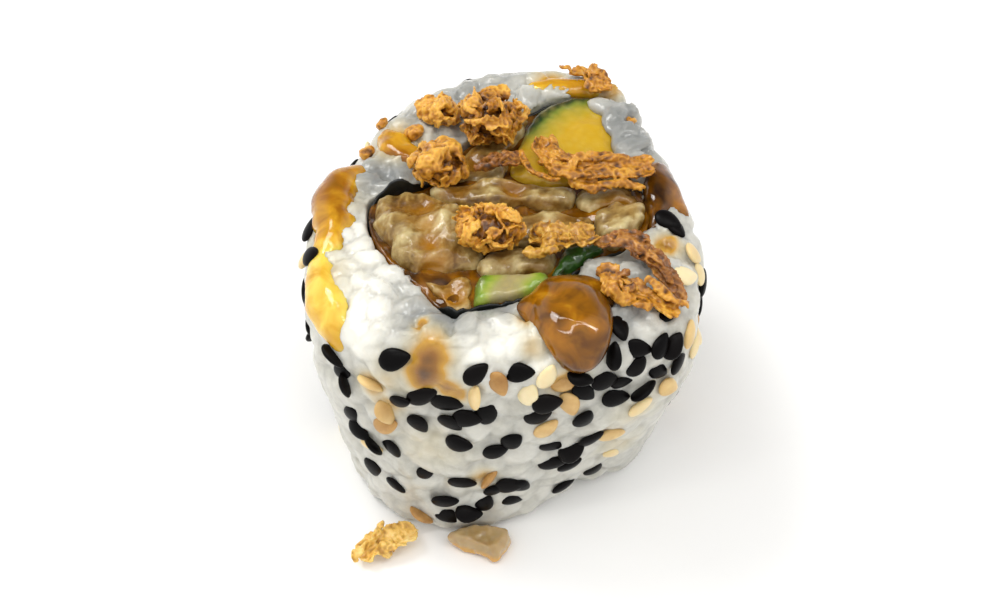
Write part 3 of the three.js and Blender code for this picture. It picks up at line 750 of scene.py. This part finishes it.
sauceSet = {
    "skin": 0.24,
    "level": 0.16,  # mm that sauce on the rice stands over the pressed surface before its own height
    "sunk": 0.7,  # mm that the underside of such sauce lies in the rice
    "bedTop": 31.5,  # mm, how high it stands between the fillings
    # x, y, reach and mm that it stands higher, among the fillings and where it climbs at the nori
    "swells": [(-8.6, -3.6, 5.5, 2), (-0.5, 3, 5, 1.1), (12.6, -1, 3.4, 1.2), (6.6, 12, 6.5, 0.7)],
    "creep": [(-12.6, -5, 6, 0.6), (16.4, 0, 4, 0.8)],
    # blobs that widen the drop's upper end: pixel x and y, radius and height in mm, and depth of colour
    "shoulder": [(449.5, 344, 1.5, 0.7, 0.42), (453, 349, 1.8, 1, 0.52), (456, 342.5, 2.1, 1.3, 0.56),
                 (462, 339, 2.2, 1.5, 0.56), (469, 337.5, 2.2, 1.4, 0.56), (477, 337, 2, 1.3, 0.56),
                 (484, 340, 1.9, 1.1, 0.56), (456, 354, 1.6, 0.9, 0.5)],
    # name: x, y, z, radius and height in mm, and depth of colour, of the blobs along its run
    "runs": {
        "glazeLeft": [(-17.4, 6.6, 32.6, 1.9, 0.9, 0.3), (-18.6, 5, 32.2, 2.5, 1.9, 0.36),
                      (-19.2, 2.4, 32, 2.7, 1.9, 0.42), (-18.8, -0.6, 32.6, 2.6, 1.4, 0.36),
                      (-18.6, -2.8, 32.9, 2.4, 1, 0.26),
                      (-19.2, -5, 32.3, 1.9, 0.8, 0.16), (-19.9, -7, 31.6, 1.5, 0.5, 0.1),
                      (-19.6, -9.4, 31.8, 2.3, 0.9, 0.06), (-19, -12, 31.2, 2.8, 1.1, 0.06),
                      (-18.3, -14.4, 30.6, 2.4, 0.9, 0.1), (-17.4, -16.6, 29.2, 1.6, 0.4, 0.22)],
        "glazeBack": [(-13.6, 13, 32.8, 1.5, 0.4, 0.3), (-12, 11, 33.3, 2.2, 0.8, 0.4),
                      (-9.8, 8.8, 33.6, 2, 0.6, 0.5)],
        "poolRight": [(16.4, -1.8, 33, 1.6, 0.7, 0.7), (17.2, 1.2, 33.4, 2.4, 1.1, 0.76),
                      (18.4, 4, 33.1, 2.5, 1, 0.7), (18.6, 7, 32.8, 2, 0.6, 0.6),
                      (19.8, 1, 32, 1.8, 0.6, 0.5)],
        "glazeRear": [(4.4, 21, 32.6, 1.5, 0.4, 0.25), (7.6, 21, 32.8, 1.9, 0.6, 0.3),
                      (11, 20.6, 32.7, 1.6, 0.5, 0.3)],
    },
}
shoulderBlobs = [(*seenOn(riceTree, x, y)[0], *rest) for x, y, *rest in sauceSet["shoulder"]]


# teriyaki sauce: a sticky soy and sugar glaze, golden where thin, brown where deep, with sharp reflections
sauceFinish, tree, shader, place = newFinish(
    "teriyakiSauce", Subsurface_Weight=0.6, Subsurface_Scale=metre, Subsurface_Radius=(1.6, 1, 0.25), IOR=1.4,
    Specular_IOR_Level=0.4, Roughness=0.08, Coat_Weight=0.4, Coat_Roughness=0.02)
deep = addNode(tree, "Attribute", attribute_name="deep").outputs["Fac"]
swirl = addNode(tree, "TexNoise", {"Vector": place, "Scale": perMetre(3), "Detail": 3, "Distortion": 0.8})
shift = addNode(tree, "MapRange", {0: swirl.outputs[0], 1: 0.3, 2: 0.7, 3: -0.16, 4: 0.16})
depth = addNode(tree, "Math", {0: deep, 1: shift.outputs[0]}, operation="ADD", use_clamp=True)
colour = addNode(tree, "ValToRGB", {0: depth.outputs[0]},
                 [(0, "#f1cf58"), (1, "#241104"), (0.25, "#d29e22"), (0.5, "#9c6408"), (0.75, "#5f3906")])
wave = addNode(tree, "TexNoise", {"Vector": place, "Scale": perMetre(1.8), "Detail": 1})
wire(tree, shader, colour.outputs[0], None, wave.outputs[0], 0.3, 0.05)


def bedHeight(x, y):
    lift = sum(h * math.exp(-((x - a) ** 2 + (y - b) ** 2) / r ** 2) for a, b, r, h in sauceSet["swells"])
    return sauceSet["bedTop"] + lift + 0.4 * noise.fractal(Vector((x, y, 4)) / 2.6, 1, 2, 2)


def makeSauceBed(steps=160, rings=44, depth=4):  # a shallow body that fills the cracks inside the nori
    walls = [noriWall(2 * math.pi * i / steps)[0] for i in range(steps)]
    points, faces = [], []
    for drop in (0, depth):
        start = len(points)
        points.append((rollAxis.x, rollAxis.y, bedHeight(rollAxis.x, rollAxis.y) - drop))
        for k in range(1, rings + 1):
            share = k / rings
            outer = max(0, (share - 0.93) / 0.07)
            for wall in walls:
                spot = rollAxis.lerp(wall, share)
                creep = outer * sum(much * math.exp(-((spot.x - x) ** 2 + (spot.y - y) ** 2) / reach ** 2)
                                    for x, y, reach, much in sauceSet["creep"])
                points.append((spot.x, spot.y, bedHeight(spot.x, spot.y) + creep - drop))
        for i in range(steps):
            j = (i + 1) % steps
            faces.append((start, start + 1 + i, start + 1 + j))
            for k in range(rings - 1):
                a, b = start + 1 + k * steps, start + 1 + (k + 1) * steps
                faces.append((a + i, b + i, b + j, a + j))
    edge = len(points) // 2
    for i in range(steps):
        j = (i + 1) % steps
        faces.append((edge - steps + i, 2 * edge - steps + i, 2 * edge - steps + j, edge - steps + j))
    return turnedOut(meshOf([(points, faces)]))


def makeRun(blobs, seed):  # sauce that ran over the rice: it fills the creases and rounds off at its edge
    stops = []
    for a, b in zip(blobs, blobs[1:]):
        stops += [[p + (q - p) * t for p, q in zip(a, b)] for t in (0, 0.2, 0.4, 0.6, 0.8)]
    stops = np.array(stops + [blobs[-1]])
    reach = stops[:, 3].max() + 1
    low, high = stops[:, :3].min(0) - reach, stops[:, :3].max(0) + reach
    index = np.flatnonzero(np.all((ricePoints > low) & (ricePoints < high), axis=1))
    near = ricePoints[index]
    ragged = 1 + 0.3 * blur(near, 1.5, seed, 2)
    away = np.linalg.norm(near[:, None] - stops[None, :, :3], axis=2) / (stops[:, 3] * ragged[:, None])
    rise = (stops[:, 4] * np.sqrt(np.maximum(0, 1 - away ** 2))).max(axis=1)
    weight = np.exp(-4 * away ** 2) + 1e-9
    deep = weight @ stops[:, 5] / weight.sum(axis=1) + 0.16 * (rise - 0.5)
    within = away.min(axis=1) < 1.25
    wetted = {int(v): values for v, *values in zip(index[within], rise[within], deep[within])}
    faces = [face for face in riceFaces if all(v in wetted for v in face)]
    used = sorted({v for face in faces for v in face})
    order = {v: i for i, v in enumerate(used)}
    faces = [tuple(order[v] for v in face) for face in faces]
    over, under, depths = [], [], []
    for v in used:
        lift, depth = wetted[v]
        spot, normal, _, _ = riceTree.find_nearest(Vector(ricePoints[v]))
        over.append(spot + normal * (sauceSet["level"] + lift - 0.5 * max(0, 1 - lift / 0.3)))
        under.append(spot - normal * sauceSet["sunk"])
        depths.append(depth)
    count = len(used)
    edges = {(a, b) for face in faces for a, b in zip(face, face[1:] + face[:1])}
    skin = faces + [tuple(v + count for v in face[::-1]) for face in faces]
    skin += [(b, a, a + count, b + count) for a, b in edges if (b, a) not in edges]
    mesh = worked(meshOf([(over + under, skin)]), 0, 12)
    store(mesh, "deep", depths * 2)
    return mesh


bed = makeSauceBed()
store(bed, "deep", 0.72 + 0.25 * blur(pointsOf(bed), 2.4, 3))
settle("sauceBed", bed, sauceFinish)
drop = meshOf([bodyOf(cadMesh("sauce_drop")), bodyOf(makeRun(shoulderBlobs, 20))])
drop = worked(drop, sauceSet["skin"], 30)
points = pointsOf(drop)
low, high = points[:, 2].min(), points[:, 2].max()
share = (points[:, 2] - low) / (high - low)
corner = smoothStep(8.6, 12, points[:, 0]) * smoothStep(0.75, 0.3, share)  # the thick end at the lower right
store(drop, "deep", 0.58 + 0.12 * smoothStep(0.7, 0.2, share) + 0.36 * corner)
coating = [(ricePoints, riceFaces), bodyOf(drop)]  # in mm, for what lies on the rice and its sauce
settle("sauceDrop", drop, sauceFinish, ["sauce_drop"])
for seed, (name, blobs) in enumerate(sauceSet["runs"].items()):
    mesh = makeRun(blobs, seed + 21)
    coating.append(bodyOf(mesh))
    settle(name, mesh, sauceFinish)
coatingTree = treeOf(meshOf(coating))
print("sauce is made")

onionSet = {
    "skin": 0.13,
    "fold": 0.26, "foldSize": 1.3,  # mm, how the batter crumples
    "crag": 0.08, "cragSize": 0.9,  # mm, its blisters
    "grit": 0.05, "gritSize": 0.32,  # mm, its fine crumbs
    # cluster: x, y, z of its middle, half sizes in mm, number of bits, share of round lumps and their size
    "clusters": {
        "onion_ball_back": ((-1.2, 12.4, 35.5), (3.7, 3.3, 3), 105, 0.2, 0.9),
        "onion_crumbs_back": ((-6.9, 15, 33.9), (2.3, 1.7, 1.2), 40, 0.2, 0.7),
        "onion_cluster_left": ((-6.9, 5, 35), (3.1, 2.6, 2.3), 50, 0.45, 1.3),
        "onion_ball_front": ((-1.3, -5.4, 35.2), (3.9, 2.8, 2.1), 95, 0.2, 0.8),
    },
    "crumbs": [(-9.8, 12.7, 1), (-15.3, 10.5, 0.9), (-13.7, 15.2, 0.7), (15.2, 15, 0.6)],  # x, y, radius
    # flake: path x, y, z, width, thickness, strands, finish
    "flakes": {
        "onion_chip_dark": ([(-2.3, 5.2, 34.3), (0.4, 5.7, 34.8), (3, 6.7, 34.2)], 3.2, 0.7, 3, "brown"),
        "onion_shred_long": ([(4.3, 9.8, 34.6), (6, 5.2, 35), (9, 3.4, 35.3), (13.4, 4, 34.8),
                              (17.6, 4.6, 34.2)], 4.2, 0.5, 6, "golden"),
        "onion_chip_front": ([(3.2, -5.2, 34.2), (6.6, -6, 34.6), (10.5, -5.4, 34.2)], 5.8, 0.45, 3, "light"),
        "onion_shred_dark": ([(10.2, -6.6, 34), (13.5, -6.8, 34.5), (16.4, -8.4, 34), (18.4, -11, 32.8),
                              (19.6, -13.4, 31.4)], 3.2, 0.45, 5, "brown"),
        "onion_curl_right": ([(10.6, -10, 34), (12.7, -12.5, 34.1), (15.9, -14, 33.4), (19, -15.2, 31.8)],
                             3.8, 0.5, 4, "golden"),
        "onion_shred_back": ([(8.6, 23.4, 33.2), (10.8, 21.4, 34), (13.2, 18.8, 34)], 3.2, 0.45, 3, "golden"),
        "onion_chip_foot": ([(-16.2, -25, 1.1), (-13.2, -23, 1.7), (-9.6, -21.5, 1.5)], 5.4, 0.5, 2, "pale"),
    },
    # ring of onion stuck on a flake: its middle x, y, z, its axis and its radius in mm
    "rings": {
        "onion_shred_long": ((9.4, 3.4, 35.6), (0.2, -0.5, 0.85), 1.5),
        "onion_shred_dark": ((13.2, -12.8, 34.6), (-0.3, -0.4, 0.87), 1),
    },
}


def flakePath(path, count):  # evenly stepped points on a smooth line through the given ones
    stops = [Vector(p) for p in path]
    full = [2 * stops[0] - stops[1], *stops, 2 * stops[-1] - stops[-2]]
    line = []
    for i in range(count):
        s = i / (count - 1) * (len(path) - 1)
        k = min(int(s), len(path) - 2)
        t = s - k
        a, b, c, d = full[k:k + 4]
        bend, swing = 2 * a - 5 * b + 4 * c - d, 3 * b - a - 3 * c + d
        line.append(0.5 * (2 * b + (c - a) * t + bend * t * t + swing * t ** 3))
    return line


def flake(path, width, thick, seed, normal, cup, count=24, across=8):  # a ragged, cupped strip
    line = flakePath(path, count)
    points, faces = [], []
    for i, spot in enumerate(line):
        share = i / (count - 1)
        ahead = (line[min(i + 1, count - 1)] - line[max(i - 1, 0)]).normalized()
        side = ahead.cross(normal).normalized()
        lift = side.cross(ahead)
        taper = min(1, 0.1 + 2.4 * math.sin(math.pi * share) ** 0.8) ** 0.8
        edges = [1 + 0.55 * noise.fractal(Vector((share * count / 3, seed * 3.1, shift)), 1, 2, 2)
                 for shift in (0, 9)]
        for face in (1, -1):
            for j in range(across + 1):
                s = j / across * 2 - 1
                reach = s * width / 2 * taper * edges[0 if s < 0 else 1]
                wave = 0.25 * noise.noise(Vector((spot.x, spot.y, seed * 5)) / 0.9 + Vector((0, 0, s)))
                bowl = cup * (s * s - 0.4) * width / 2 + wave
                body = thick / 2 * (1 - 0.6 * s ** 4)
                points.append(spot + side * reach + lift * (bowl + face * body))
    n = across + 1
    for i in range(count - 1):
        a, b = 2 * n * i, 2 * n * (i + 1)
        for j in range(across):
            faces.append((a + j, a + j + 1, b + j + 1, b + j))
            faces.append((a + n + j, b + n + j, b + n + j + 1, a + n + j + 1))
        faces.append((a, b, b + n, a + n))
        faces.append((a + across, a + n + across, b + n + across, b + across))
    for row in (0, 2 * n * (count - 1)):
        faces.append((*range(row, row + n), *range(row + 2 * n - 1, row + n - 1, -1)))
    return points, faces


def friedSkin(bodies, seed, middle=None, sizes=None, fold=1.0):  # one crusty body, crumpled and gritty
    mesh = worked(turnedOut(meshOf(bodies)), onionSet["skin"], 1)
    points = pointsOf(mesh)
    if middle is None:
        outer = 0.6 + 0.35 * blur(points, 2, seed + 3, 2)
    else:
        outer = smoothStep(0.62, 1.12, np.linalg.norm((points - np.array(middle)) / np.array(sizes), axis=1))
    points += onionSet["fold"] * fold * crumple(points, onionSet["foldSize"], seed)
    movePoints(mesh, points)
    blisters = 1 - 2.4 * np.abs(blur(points, onionSet["cragSize"], seed, 2))
    grit = blur(points, onionSet["gritSize"], seed + 7, 2)
    push = onionSet["crag"] * blisters + onionSet["grit"] * grit
    movePoints(mesh, points + normalsOf(mesh) * push[:, None])
    # painted light and shade: outer parts and blister tops lighter, the inside and creases darker
    store(mesh, "crest", 0.12 + 0.5 * outer + 0.26 * blisters + 0.12 * grit)
    return mesh


def makeCluster(middle, sizes, bits, lumps, lumpSize, seed):  # a knot of lumps and curls fried together
    dice = random.Random(seed)
    middle = Vector(middle)
    bodies = [ballAt(Matrix.Translation(middle) @ Matrix.Diagonal((*[s * 0.66 for s in sizes], 1)))]
    for _ in range(bits):
        way = anyDirection(dice)
        spot = middle + Vector([w * s * dice.uniform(0.6, 0.92) for w, s in zip(way, sizes)])
        along = levelWith(anyDirection(dice), way)
        if dice.random() < lumps:
            halves = [lumpSize * dice.uniform(0.55, 1.1) for _ in range(3)]
            bodies.append(ballAt(framed(spot, along, way, halves)))
            continue
        half = dice.uniform(0.6, 1.6)
        bend = way * dice.uniform(-0.2, 1) * half
        path = [spot - along * half, spot + bend, spot + along * half]
        facing = (way + anyDirection(dice)).normalized()
        bodies.append(flake(path, dice.uniform(0.5, 1.7), dice.uniform(0.2, 0.3), dice.random() * 50, facing,
                            dice.uniform(-0.8, 0.8), 9, 5))
    return friedSkin(bodies, seed, middle, [s * 1.05 for s in sizes])


def makeShred(node, path, width, thick, strands, seed):  # thin strands of one shred, fried together
    dice = random.Random(seed)
    line = flakePath(path, 30)
    bodies = [flake(path, width * 0.62, thick * 0.8, seed, up, 0.45)]
    for k in range(strands * 2):
        start = dice.randrange(0, 16)
        part = line[start:start + dice.randrange(9, 17)]
        shift = Vector((dice.gauss(0, 0.22), dice.gauss(0, 0.22), 0)) * width + up * dice.uniform(-0.1, 0.55)
        lean = (up + anyDirection(dice) * 0.8).normalized()
        bends = [p + shift + anyDirection(dice) * 0.12 * width for p in part[::max(1, len(part) // 3)]]
        bodies.append(flake(bends, width * dice.uniform(0.12, 0.42), max(0.2, thick * dice.uniform(0.5, 0.8)),
                            seed + k * 3.3, lean, dice.uniform(-0.8, 0.8), 18, 6))
    if node in onionSet["rings"]:
        middle, axis, radius = onionSet["rings"][node]
        axis = Vector(axis).normalized()
        along = axis.orthogonal().normalized()
        ring = [Matrix.Rotation(math.radians(a), 3, axis) @ along * radius + Vector(middle)
                for a in range(0, 330, 30)]
        bodies.append(flake(ring, 0.9, thick, seed + 9, axis, 0.2, 40, 5))
    return friedSkin(bodies, seed, fold=0.5)


# fried onion: crisp battered shreds, golden with toasted variation and slightly oily, painted lighter on the
# crests and outer parts and darker in the creases and inside as light and shade
def onionFinish(name, crest, body, creaseShade):
    finish, tree, shader, place = newFinish(
        name, Subsurface_Weight=0.3, Subsurface_Scale=metre, Subsurface_Radius=(0.7, 0.42, 0.14), IOR=1.4,
        Specular_IOR_Level=0.35, Coat_Weight=0.45, Coat_Roughness=0.2)
    height = addNode(tree, "Attribute", attribute_name="crest").outputs["Fac"]
    toast = addNode(tree, "TexNoise", {"Vector": place, "Scale": perMetre(2.8), "Detail": 3})
    level = addNode(tree, "Mix", {0: 0.3, 2: height, 3: toast.outputs[0]})
    # painted shade colour in the creases, painted light colour on the crests
    ramp = addNode(tree, "ValToRGB", {0: level.outputs[0]}, [(0.26, creaseShade), (0.78, crest), (0.52, body)])
    gloss = addNode(tree, "MapRange", {0: toast.outputs[0], 3: 0.28, 4: 0.55})
    grit = addNode(tree, "TexNoise", {"Vector": place, "Scale": perMetre(0.3), "Detail": 4, "Roughness": 0.7})
    wire(tree, shader, ramp.outputs[0], gloss.outputs[0], grit.outputs[0], 0.12, 0.7)
    return finish


onionFinishes = {
    "golden": onionFinish("goldenFriedOnion", "#eeb64a", "#b87a1c", "#5c3408"),
    "light": onionFinish("lightFriedOnion", "#ecc05c", "#b68124", "#613b0a"),
    "brown": onionFinish("brownFriedOnion", "#cc9242", "#8c561a", "#402208"),
    "pale": onionFinish("paleFriedOnion", "#fbe09a", "#e6bb5c", "#a97a2c"),
}
for seed, (node, (middle, sizes, *make)) in enumerate(onionSet["clusters"].items()):
    mesh = makeCluster(middle, sizes, *make, seed + 11)
    settle(pieceName(node), mesh, onionFinishes["golden"], [node])
crumbs = []
for x, y, radius in onionSet["crumbs"]:  # crumbs that fell on the rice
    spot, normal, _, _ = coatingTree.ray_cast(Vector((x, y, 0)) + overhead, -up)
    crumbs.append(ballAt(framed(spot + normal * 0.4 * radius, Vector((1, 0.3, 0)), normal,
                                (radius * 1.2, radius, radius * 0.8))))
settle("onionCrumbs", friedSkin(crumbs, 8), onionFinishes["golden"])
for seed, (node, (path, width, thick, strands, finish)) in enumerate(onionSet["flakes"].items()):
    mesh = makeShred(node, path, width, thick, strands, seed + 31)
    settle(pieceName(node), mesh, onionFinishes[finish], [node])
print("fried onions are made")

# onion soaked in sauce: a limp, translucent sliver, brown and glossy
soakedFinish, tree, shader, place = newFinish(
    "soakedOnion", Subsurface_Weight=0.7, Subsurface_Scale=metre, Subsurface_Radius=(1.8, 1.2, 0.5), IOR=1.4,
    Roughness=0.2, Coat_Weight=1, Coat_Roughness=0.04)
low = addNode(tree, "Attribute", attribute_name="low").outputs["Fac"]
streaks = addNode(tree, "TexNoise", {"Vector": place, "Scale": perMetre(2.2), "Detail": 3, "Distortion": 1})
flesh = addNode(tree, "Mix", {0: streaks.outputs[0], 6: "#987a45", 7: "#c4aa7a"}, data_type="RGBA")
colour = addNode(tree, "Mix", {0: low, 6: flesh.outputs[2], 7: "#c8942c"}, data_type="RGBA")
wire(tree, shader, colour.outputs[2], None, streaks.outputs[0], 0.2, 0.3)
soakedSet = {
    "skin": 0.2, "rounding": 4,
    "fold": 0.3, "foldSize": 1.5,  # mm
    "seed": 9,
    "foot": 0.05,  # mm above the floor
    "steeped": (1.5, 0.7),  # mm above the floor, where the sauce's colour begins and is full
}
mesh = worked(cadMesh("onion_soaked_foot"), soakedSet["skin"], soakedSet["rounding"])
points = pointsOf(mesh)
folds = soakedSet["fold"] * blur(points, soakedSet["foldSize"], soakedSet["seed"], 2)
points += normalsOf(mesh) * folds[:, None]
points[:, 2] = np.maximum(points[:, 2], soakedSet["foot"])
movePoints(mesh, points)
store(mesh, "low", smoothStep(*soakedSet["steeped"], points[:, 2]))
settle("onionSoakedFoot", mesh, soakedFinish, ["onion_soaked_foot"])

sesameSet = {
    "seed": 12,
    "length": 3.2, "width": 2.2, "thickness": 1,  # mm
    "scattered": {"black": 132, "white": 60},  # seeds on the side that the photograph doesn't show
    "hidden": (-20, 192),  # degrees round the roll, where that side begins and ends
    "heights": (0.8, 29.5),  # mm above the foot, from and to
    "apart": 1.7,  # mm, the least between two seeds
    "together": 0.55,  # share of black seeds that stick beside another
    "forms": {"usual": (1, 0.2), "thin": (1, 1.1), "small": (0.84, 0.2), "big": (1.12, 0.1)},  # size, lean
    # seeds that the photograph shows: pixel x and y, and how far they are turned in it, degrees
    "seen": {
        "black": {
            "usual": [(369.1, 393.9, 60), (387.5, 410, -55), (378.8, 418.7, -80), (399.5, 398.6, -50),
                      (414.3, 398.2, -35), (418.3, 407.9, -10), (422, 396.2, -5), (426, 375.8, 40),
                      (435, 411.3, 20), (442.7, 406.6, 35), (419.6, 425.7, -5), (430, 435.1, 60),
                      (441.4, 427, 0), (442.7, 433, 0), (411.9, 434.4, 5), (412.6, 440.8, -35),
                      (446.1, 375.1, 0), (458.8, 389.4, 10), (454.5, 395.1, 20),
                      (475.7, 383.9, -35), (475.7, 396.3, 55), (460.9, 408.5, 0), (478.8, 405.7, 30),
                      (461.2, 416.6, 10), (469.1, 417.6, 30), (480, 419.4, 60), (446.1, 427.2, -20),
                      (492.1, 355.1, -70), (500.6, 364.2, -5), (499.7, 372.1, 50), (510.9, 363, 65),
                      (509.7, 373.9, -20), (518.8, 370.9, 55), (485.1, 378.8, 10), (490.3, 386.7, 5),
                      (512.7, 348.2, 0), (349.9, 321.5, 30), (514.5, 305.5, -30), (517.5, 308.5, -50),
                      (364.7, 373.8, 80)],
            "thin": [(360.7, 367.1, -50), (366.5, 380.5, -75), (372.7, 401.2, -48), (379.1, 408.3, -48),
                     (422.6, 439.1, -5), (469.7, 410.9, 30), (466.1, 427.2, 35), (489.1, 367.3, 85),
                     (516, 362.4, 60), (502.4, 383, 40), (473.9, 377, -15), (349.8, 309, 65)],
            "small": [(389.2, 427, -40), (402.6, 420.7, 30), (391.2, 388.5, 0), (493.3, 379.4, 20),
                      (434.4, 429, 30)],
            "big": [(388.5, 369.1, 12), (401.2, 385.8, 20), (412.6, 388.8, -10), (430.7, 393.5, 60)],
        },
        "white": {
            "usual": [(436.4, 380.5, -65), (384.5, 399.2, 10), (450.3, 384.8, 70),
                      (458.8, 377, 65), (466.7, 380, 0), (469.1, 389.7, -70), (458.5, 400.9, 40),
                      (501.5, 390.9, 35), (488.5, 403.6, 10), (514.5, 381.8, -10), (524.2, 357.6, 85),
                      (526.6, 362.4, 80), (526, 320.9, -40)],
            "thin": [(425.3, 385.5, 75), (384.8, 392.9, -60), (432, 423, 50), (401.2, 440.1, -35),
                     (377.8, 379.5, -30)],
            "small": [(378.1, 408.9, -30), (488.5, 412.1, -10)],
            "big": [(522.4, 330.9, 0)],
        },
    },
}


def seedForm(p):  # a flat drop, pointed at one end
    x, y, z = p.T
    narrow = 1 - 0.3 * x - 0.12 * x * x
    return np.stack([x * 1.03, y * narrow, z * (0.9 + 0.1 * narrow)], axis=1)


def sideSpot(angle, z):  # a point on the rice's outside
    out = Vector((math.cos(angle), math.sin(angle), 0))
    return riceSkin.ray_cast(rollAxis + out * 45 + up * z, -out)[0]


def seedAt(spot, normal, along, tilt, size):
    lean = Matrix.Rotation(tilt, 3, along) @ normal
    halves = [sesameSet[key] / 2 * size for key in ("length", "width", "thickness")]
    return ballAt(framed(spot + normal * (0.04 + 0.3 * abs(math.sin(tilt))), along, lean, halves), seedForm)


def placeSeen(kind, dice):  # seeds pressed into the coating where the photograph shows them
    bodies, spots = [], []
    for form, marks in sesameSet["seen"][kind].items():
        size, tilt = sesameSet["forms"][form]
        for x, y, turn in marks:
            spot = seenOn(coatingTree, x, y)[0]
            if spot is None:  # just past the roll's outline
                continue
            normal = riceTree.find_nearest(spot)[1]
            across = Vector((math.cos(math.radians(turn)), 0, 0)) + upInView * math.sin(math.radians(turn))
            along = across - toEye * (across.dot(normal) / max(0.35, toEye.dot(normal)))
            along = levelWith(along, normal)
            lean = tilt * dice.choice((-1, 1)) * smoothStep(0.25, 0.6, toEye.dot(normal))
            bodies.append(seedAt(spot, normal, along, lean, size * dice.uniform(0.95, 1.05)))
            spots.append(spot)
    return bodies, spots


def sprinkle():  # the seeds that the photograph shows, then those on the sides that it doesn't
    dice = random.Random(sesameSet["seed"])
    first, last = map(math.radians, sesameSet["hidden"])
    low, high = sesameSet["heights"]
    seeds, taken = {}, []
    for kind in ("black", "white"):
        seeds[kind], spots = placeSeen(kind, dice)
        taken += spots
    for kind, count in sesameSet["scattered"].items():
        placed = []
        while len(placed) < count:
            if placed and dice.random() < sesameSet["together"] * (kind == "black"):
                mate = dice.choice(placed)
                angle = math.atan2(mate.y - rollAxis.y, mate.x - rollAxis.x) + dice.uniform(-0.11, 0.11)
                z = mate.z + dice.uniform(-2.3, 2.3)
            else:
                angle, z = dice.uniform(first, last), dice.uniform(low, high)
            turned = (angle - first) % (2 * math.pi) + first
            if not (turned < last and low < z < high):
                continue
            spot = sideSpot(angle, z)
            if spot is None or any((spot - other).length < sesameSet["apart"] for other in taken):
                continue
            normal = riceTree.find_nearest(spot)[1]
            if normal.z > 0.75:
                continue
            placed.append(spot)
            taken.append(spot)
            along = levelWith(anyDirection(dice), normal)
            tilt = dice.gauss(0, 0.28) if dice.random() < 0.85 else 1.1
            seeds[kind].append(seedAt(spot, normal, along, tilt, dice.uniform(0.88, 1.12)))
    return seeds


def joinSeeds(bodies, seed):  # one mesh, with a tone for each seed
    dice = random.Random(seed)
    mesh = meshOf(bodies)
    store(mesh, "tone", np.repeat([dice.random() for _ in bodies], len(bodies[0][0])))
    return mesh


# black sesame: small matt hulls, nearly black with a brown cast
blackFinish, tree, shader, place = newFinish("blackSesame", IOR=1.4, Specular_IOR_Level=0.12)
tone = addNode(tree, "Attribute", attribute_name="tone").outputs["Fac"]
hull = addNode(tree, "TexNoise", {"Vector": place, "Scale": perMetre(0.7), "Detail": 4})
colour = addNode(tree, "Mix", {0: tone, 6: "#040303", 7: "#0e0b0a"}, data_type="RGBA")
gloss = addNode(tree, "MapRange", {0: hull.outputs[0], 3: 0.25, 4: 0.5})
wire(tree, shader, colour.outputs[2], gloss.outputs[0], hull.outputs[0], 0.08, 0.4)

# white sesame: creamy hulls, some toasted to tan
whiteFinish, tree, shader, place = newFinish(
    "toastedSesame", Subsurface_Weight=0.25, Subsurface_Scale=metre, Subsurface_Radius=(0.7, 0.45, 0.25),
    IOR=1.45, Roughness=0.36)
tone = addNode(tree, "Attribute", attribute_name="tone").outputs["Fac"]
hull = addNode(tree, "TexNoise", {"Vector": place, "Scale": perMetre(1.6), "Detail": 3})
level = addNode(tree, "Mix", {0: 0.35, 2: tone, 3: hull.outputs[0]})
colour = addNode(tree, "ValToRGB", {0: level.outputs[0]},
                 [(0.15, "#efe0b4"), (0.92, "#8f6230"), (0.5, "#e2c486"), (0.74, "#bf9250")])
fine = addNode(tree, "TexNoise", {"Vector": place, "Scale": perMetre(0.6), "Detail": 3})
wire(tree, shader, colour.outputs[0], None, fine.outputs[0], 0.08, 0.3)

seeds = sprinkle()
settle("sesameBlack", joinSeeds(seeds["black"], 1), blackFinish)
settle("sesameWhite", joinSeeds(seeds["white"], 2), whiteFinish)
print("sesame is sprinkled")
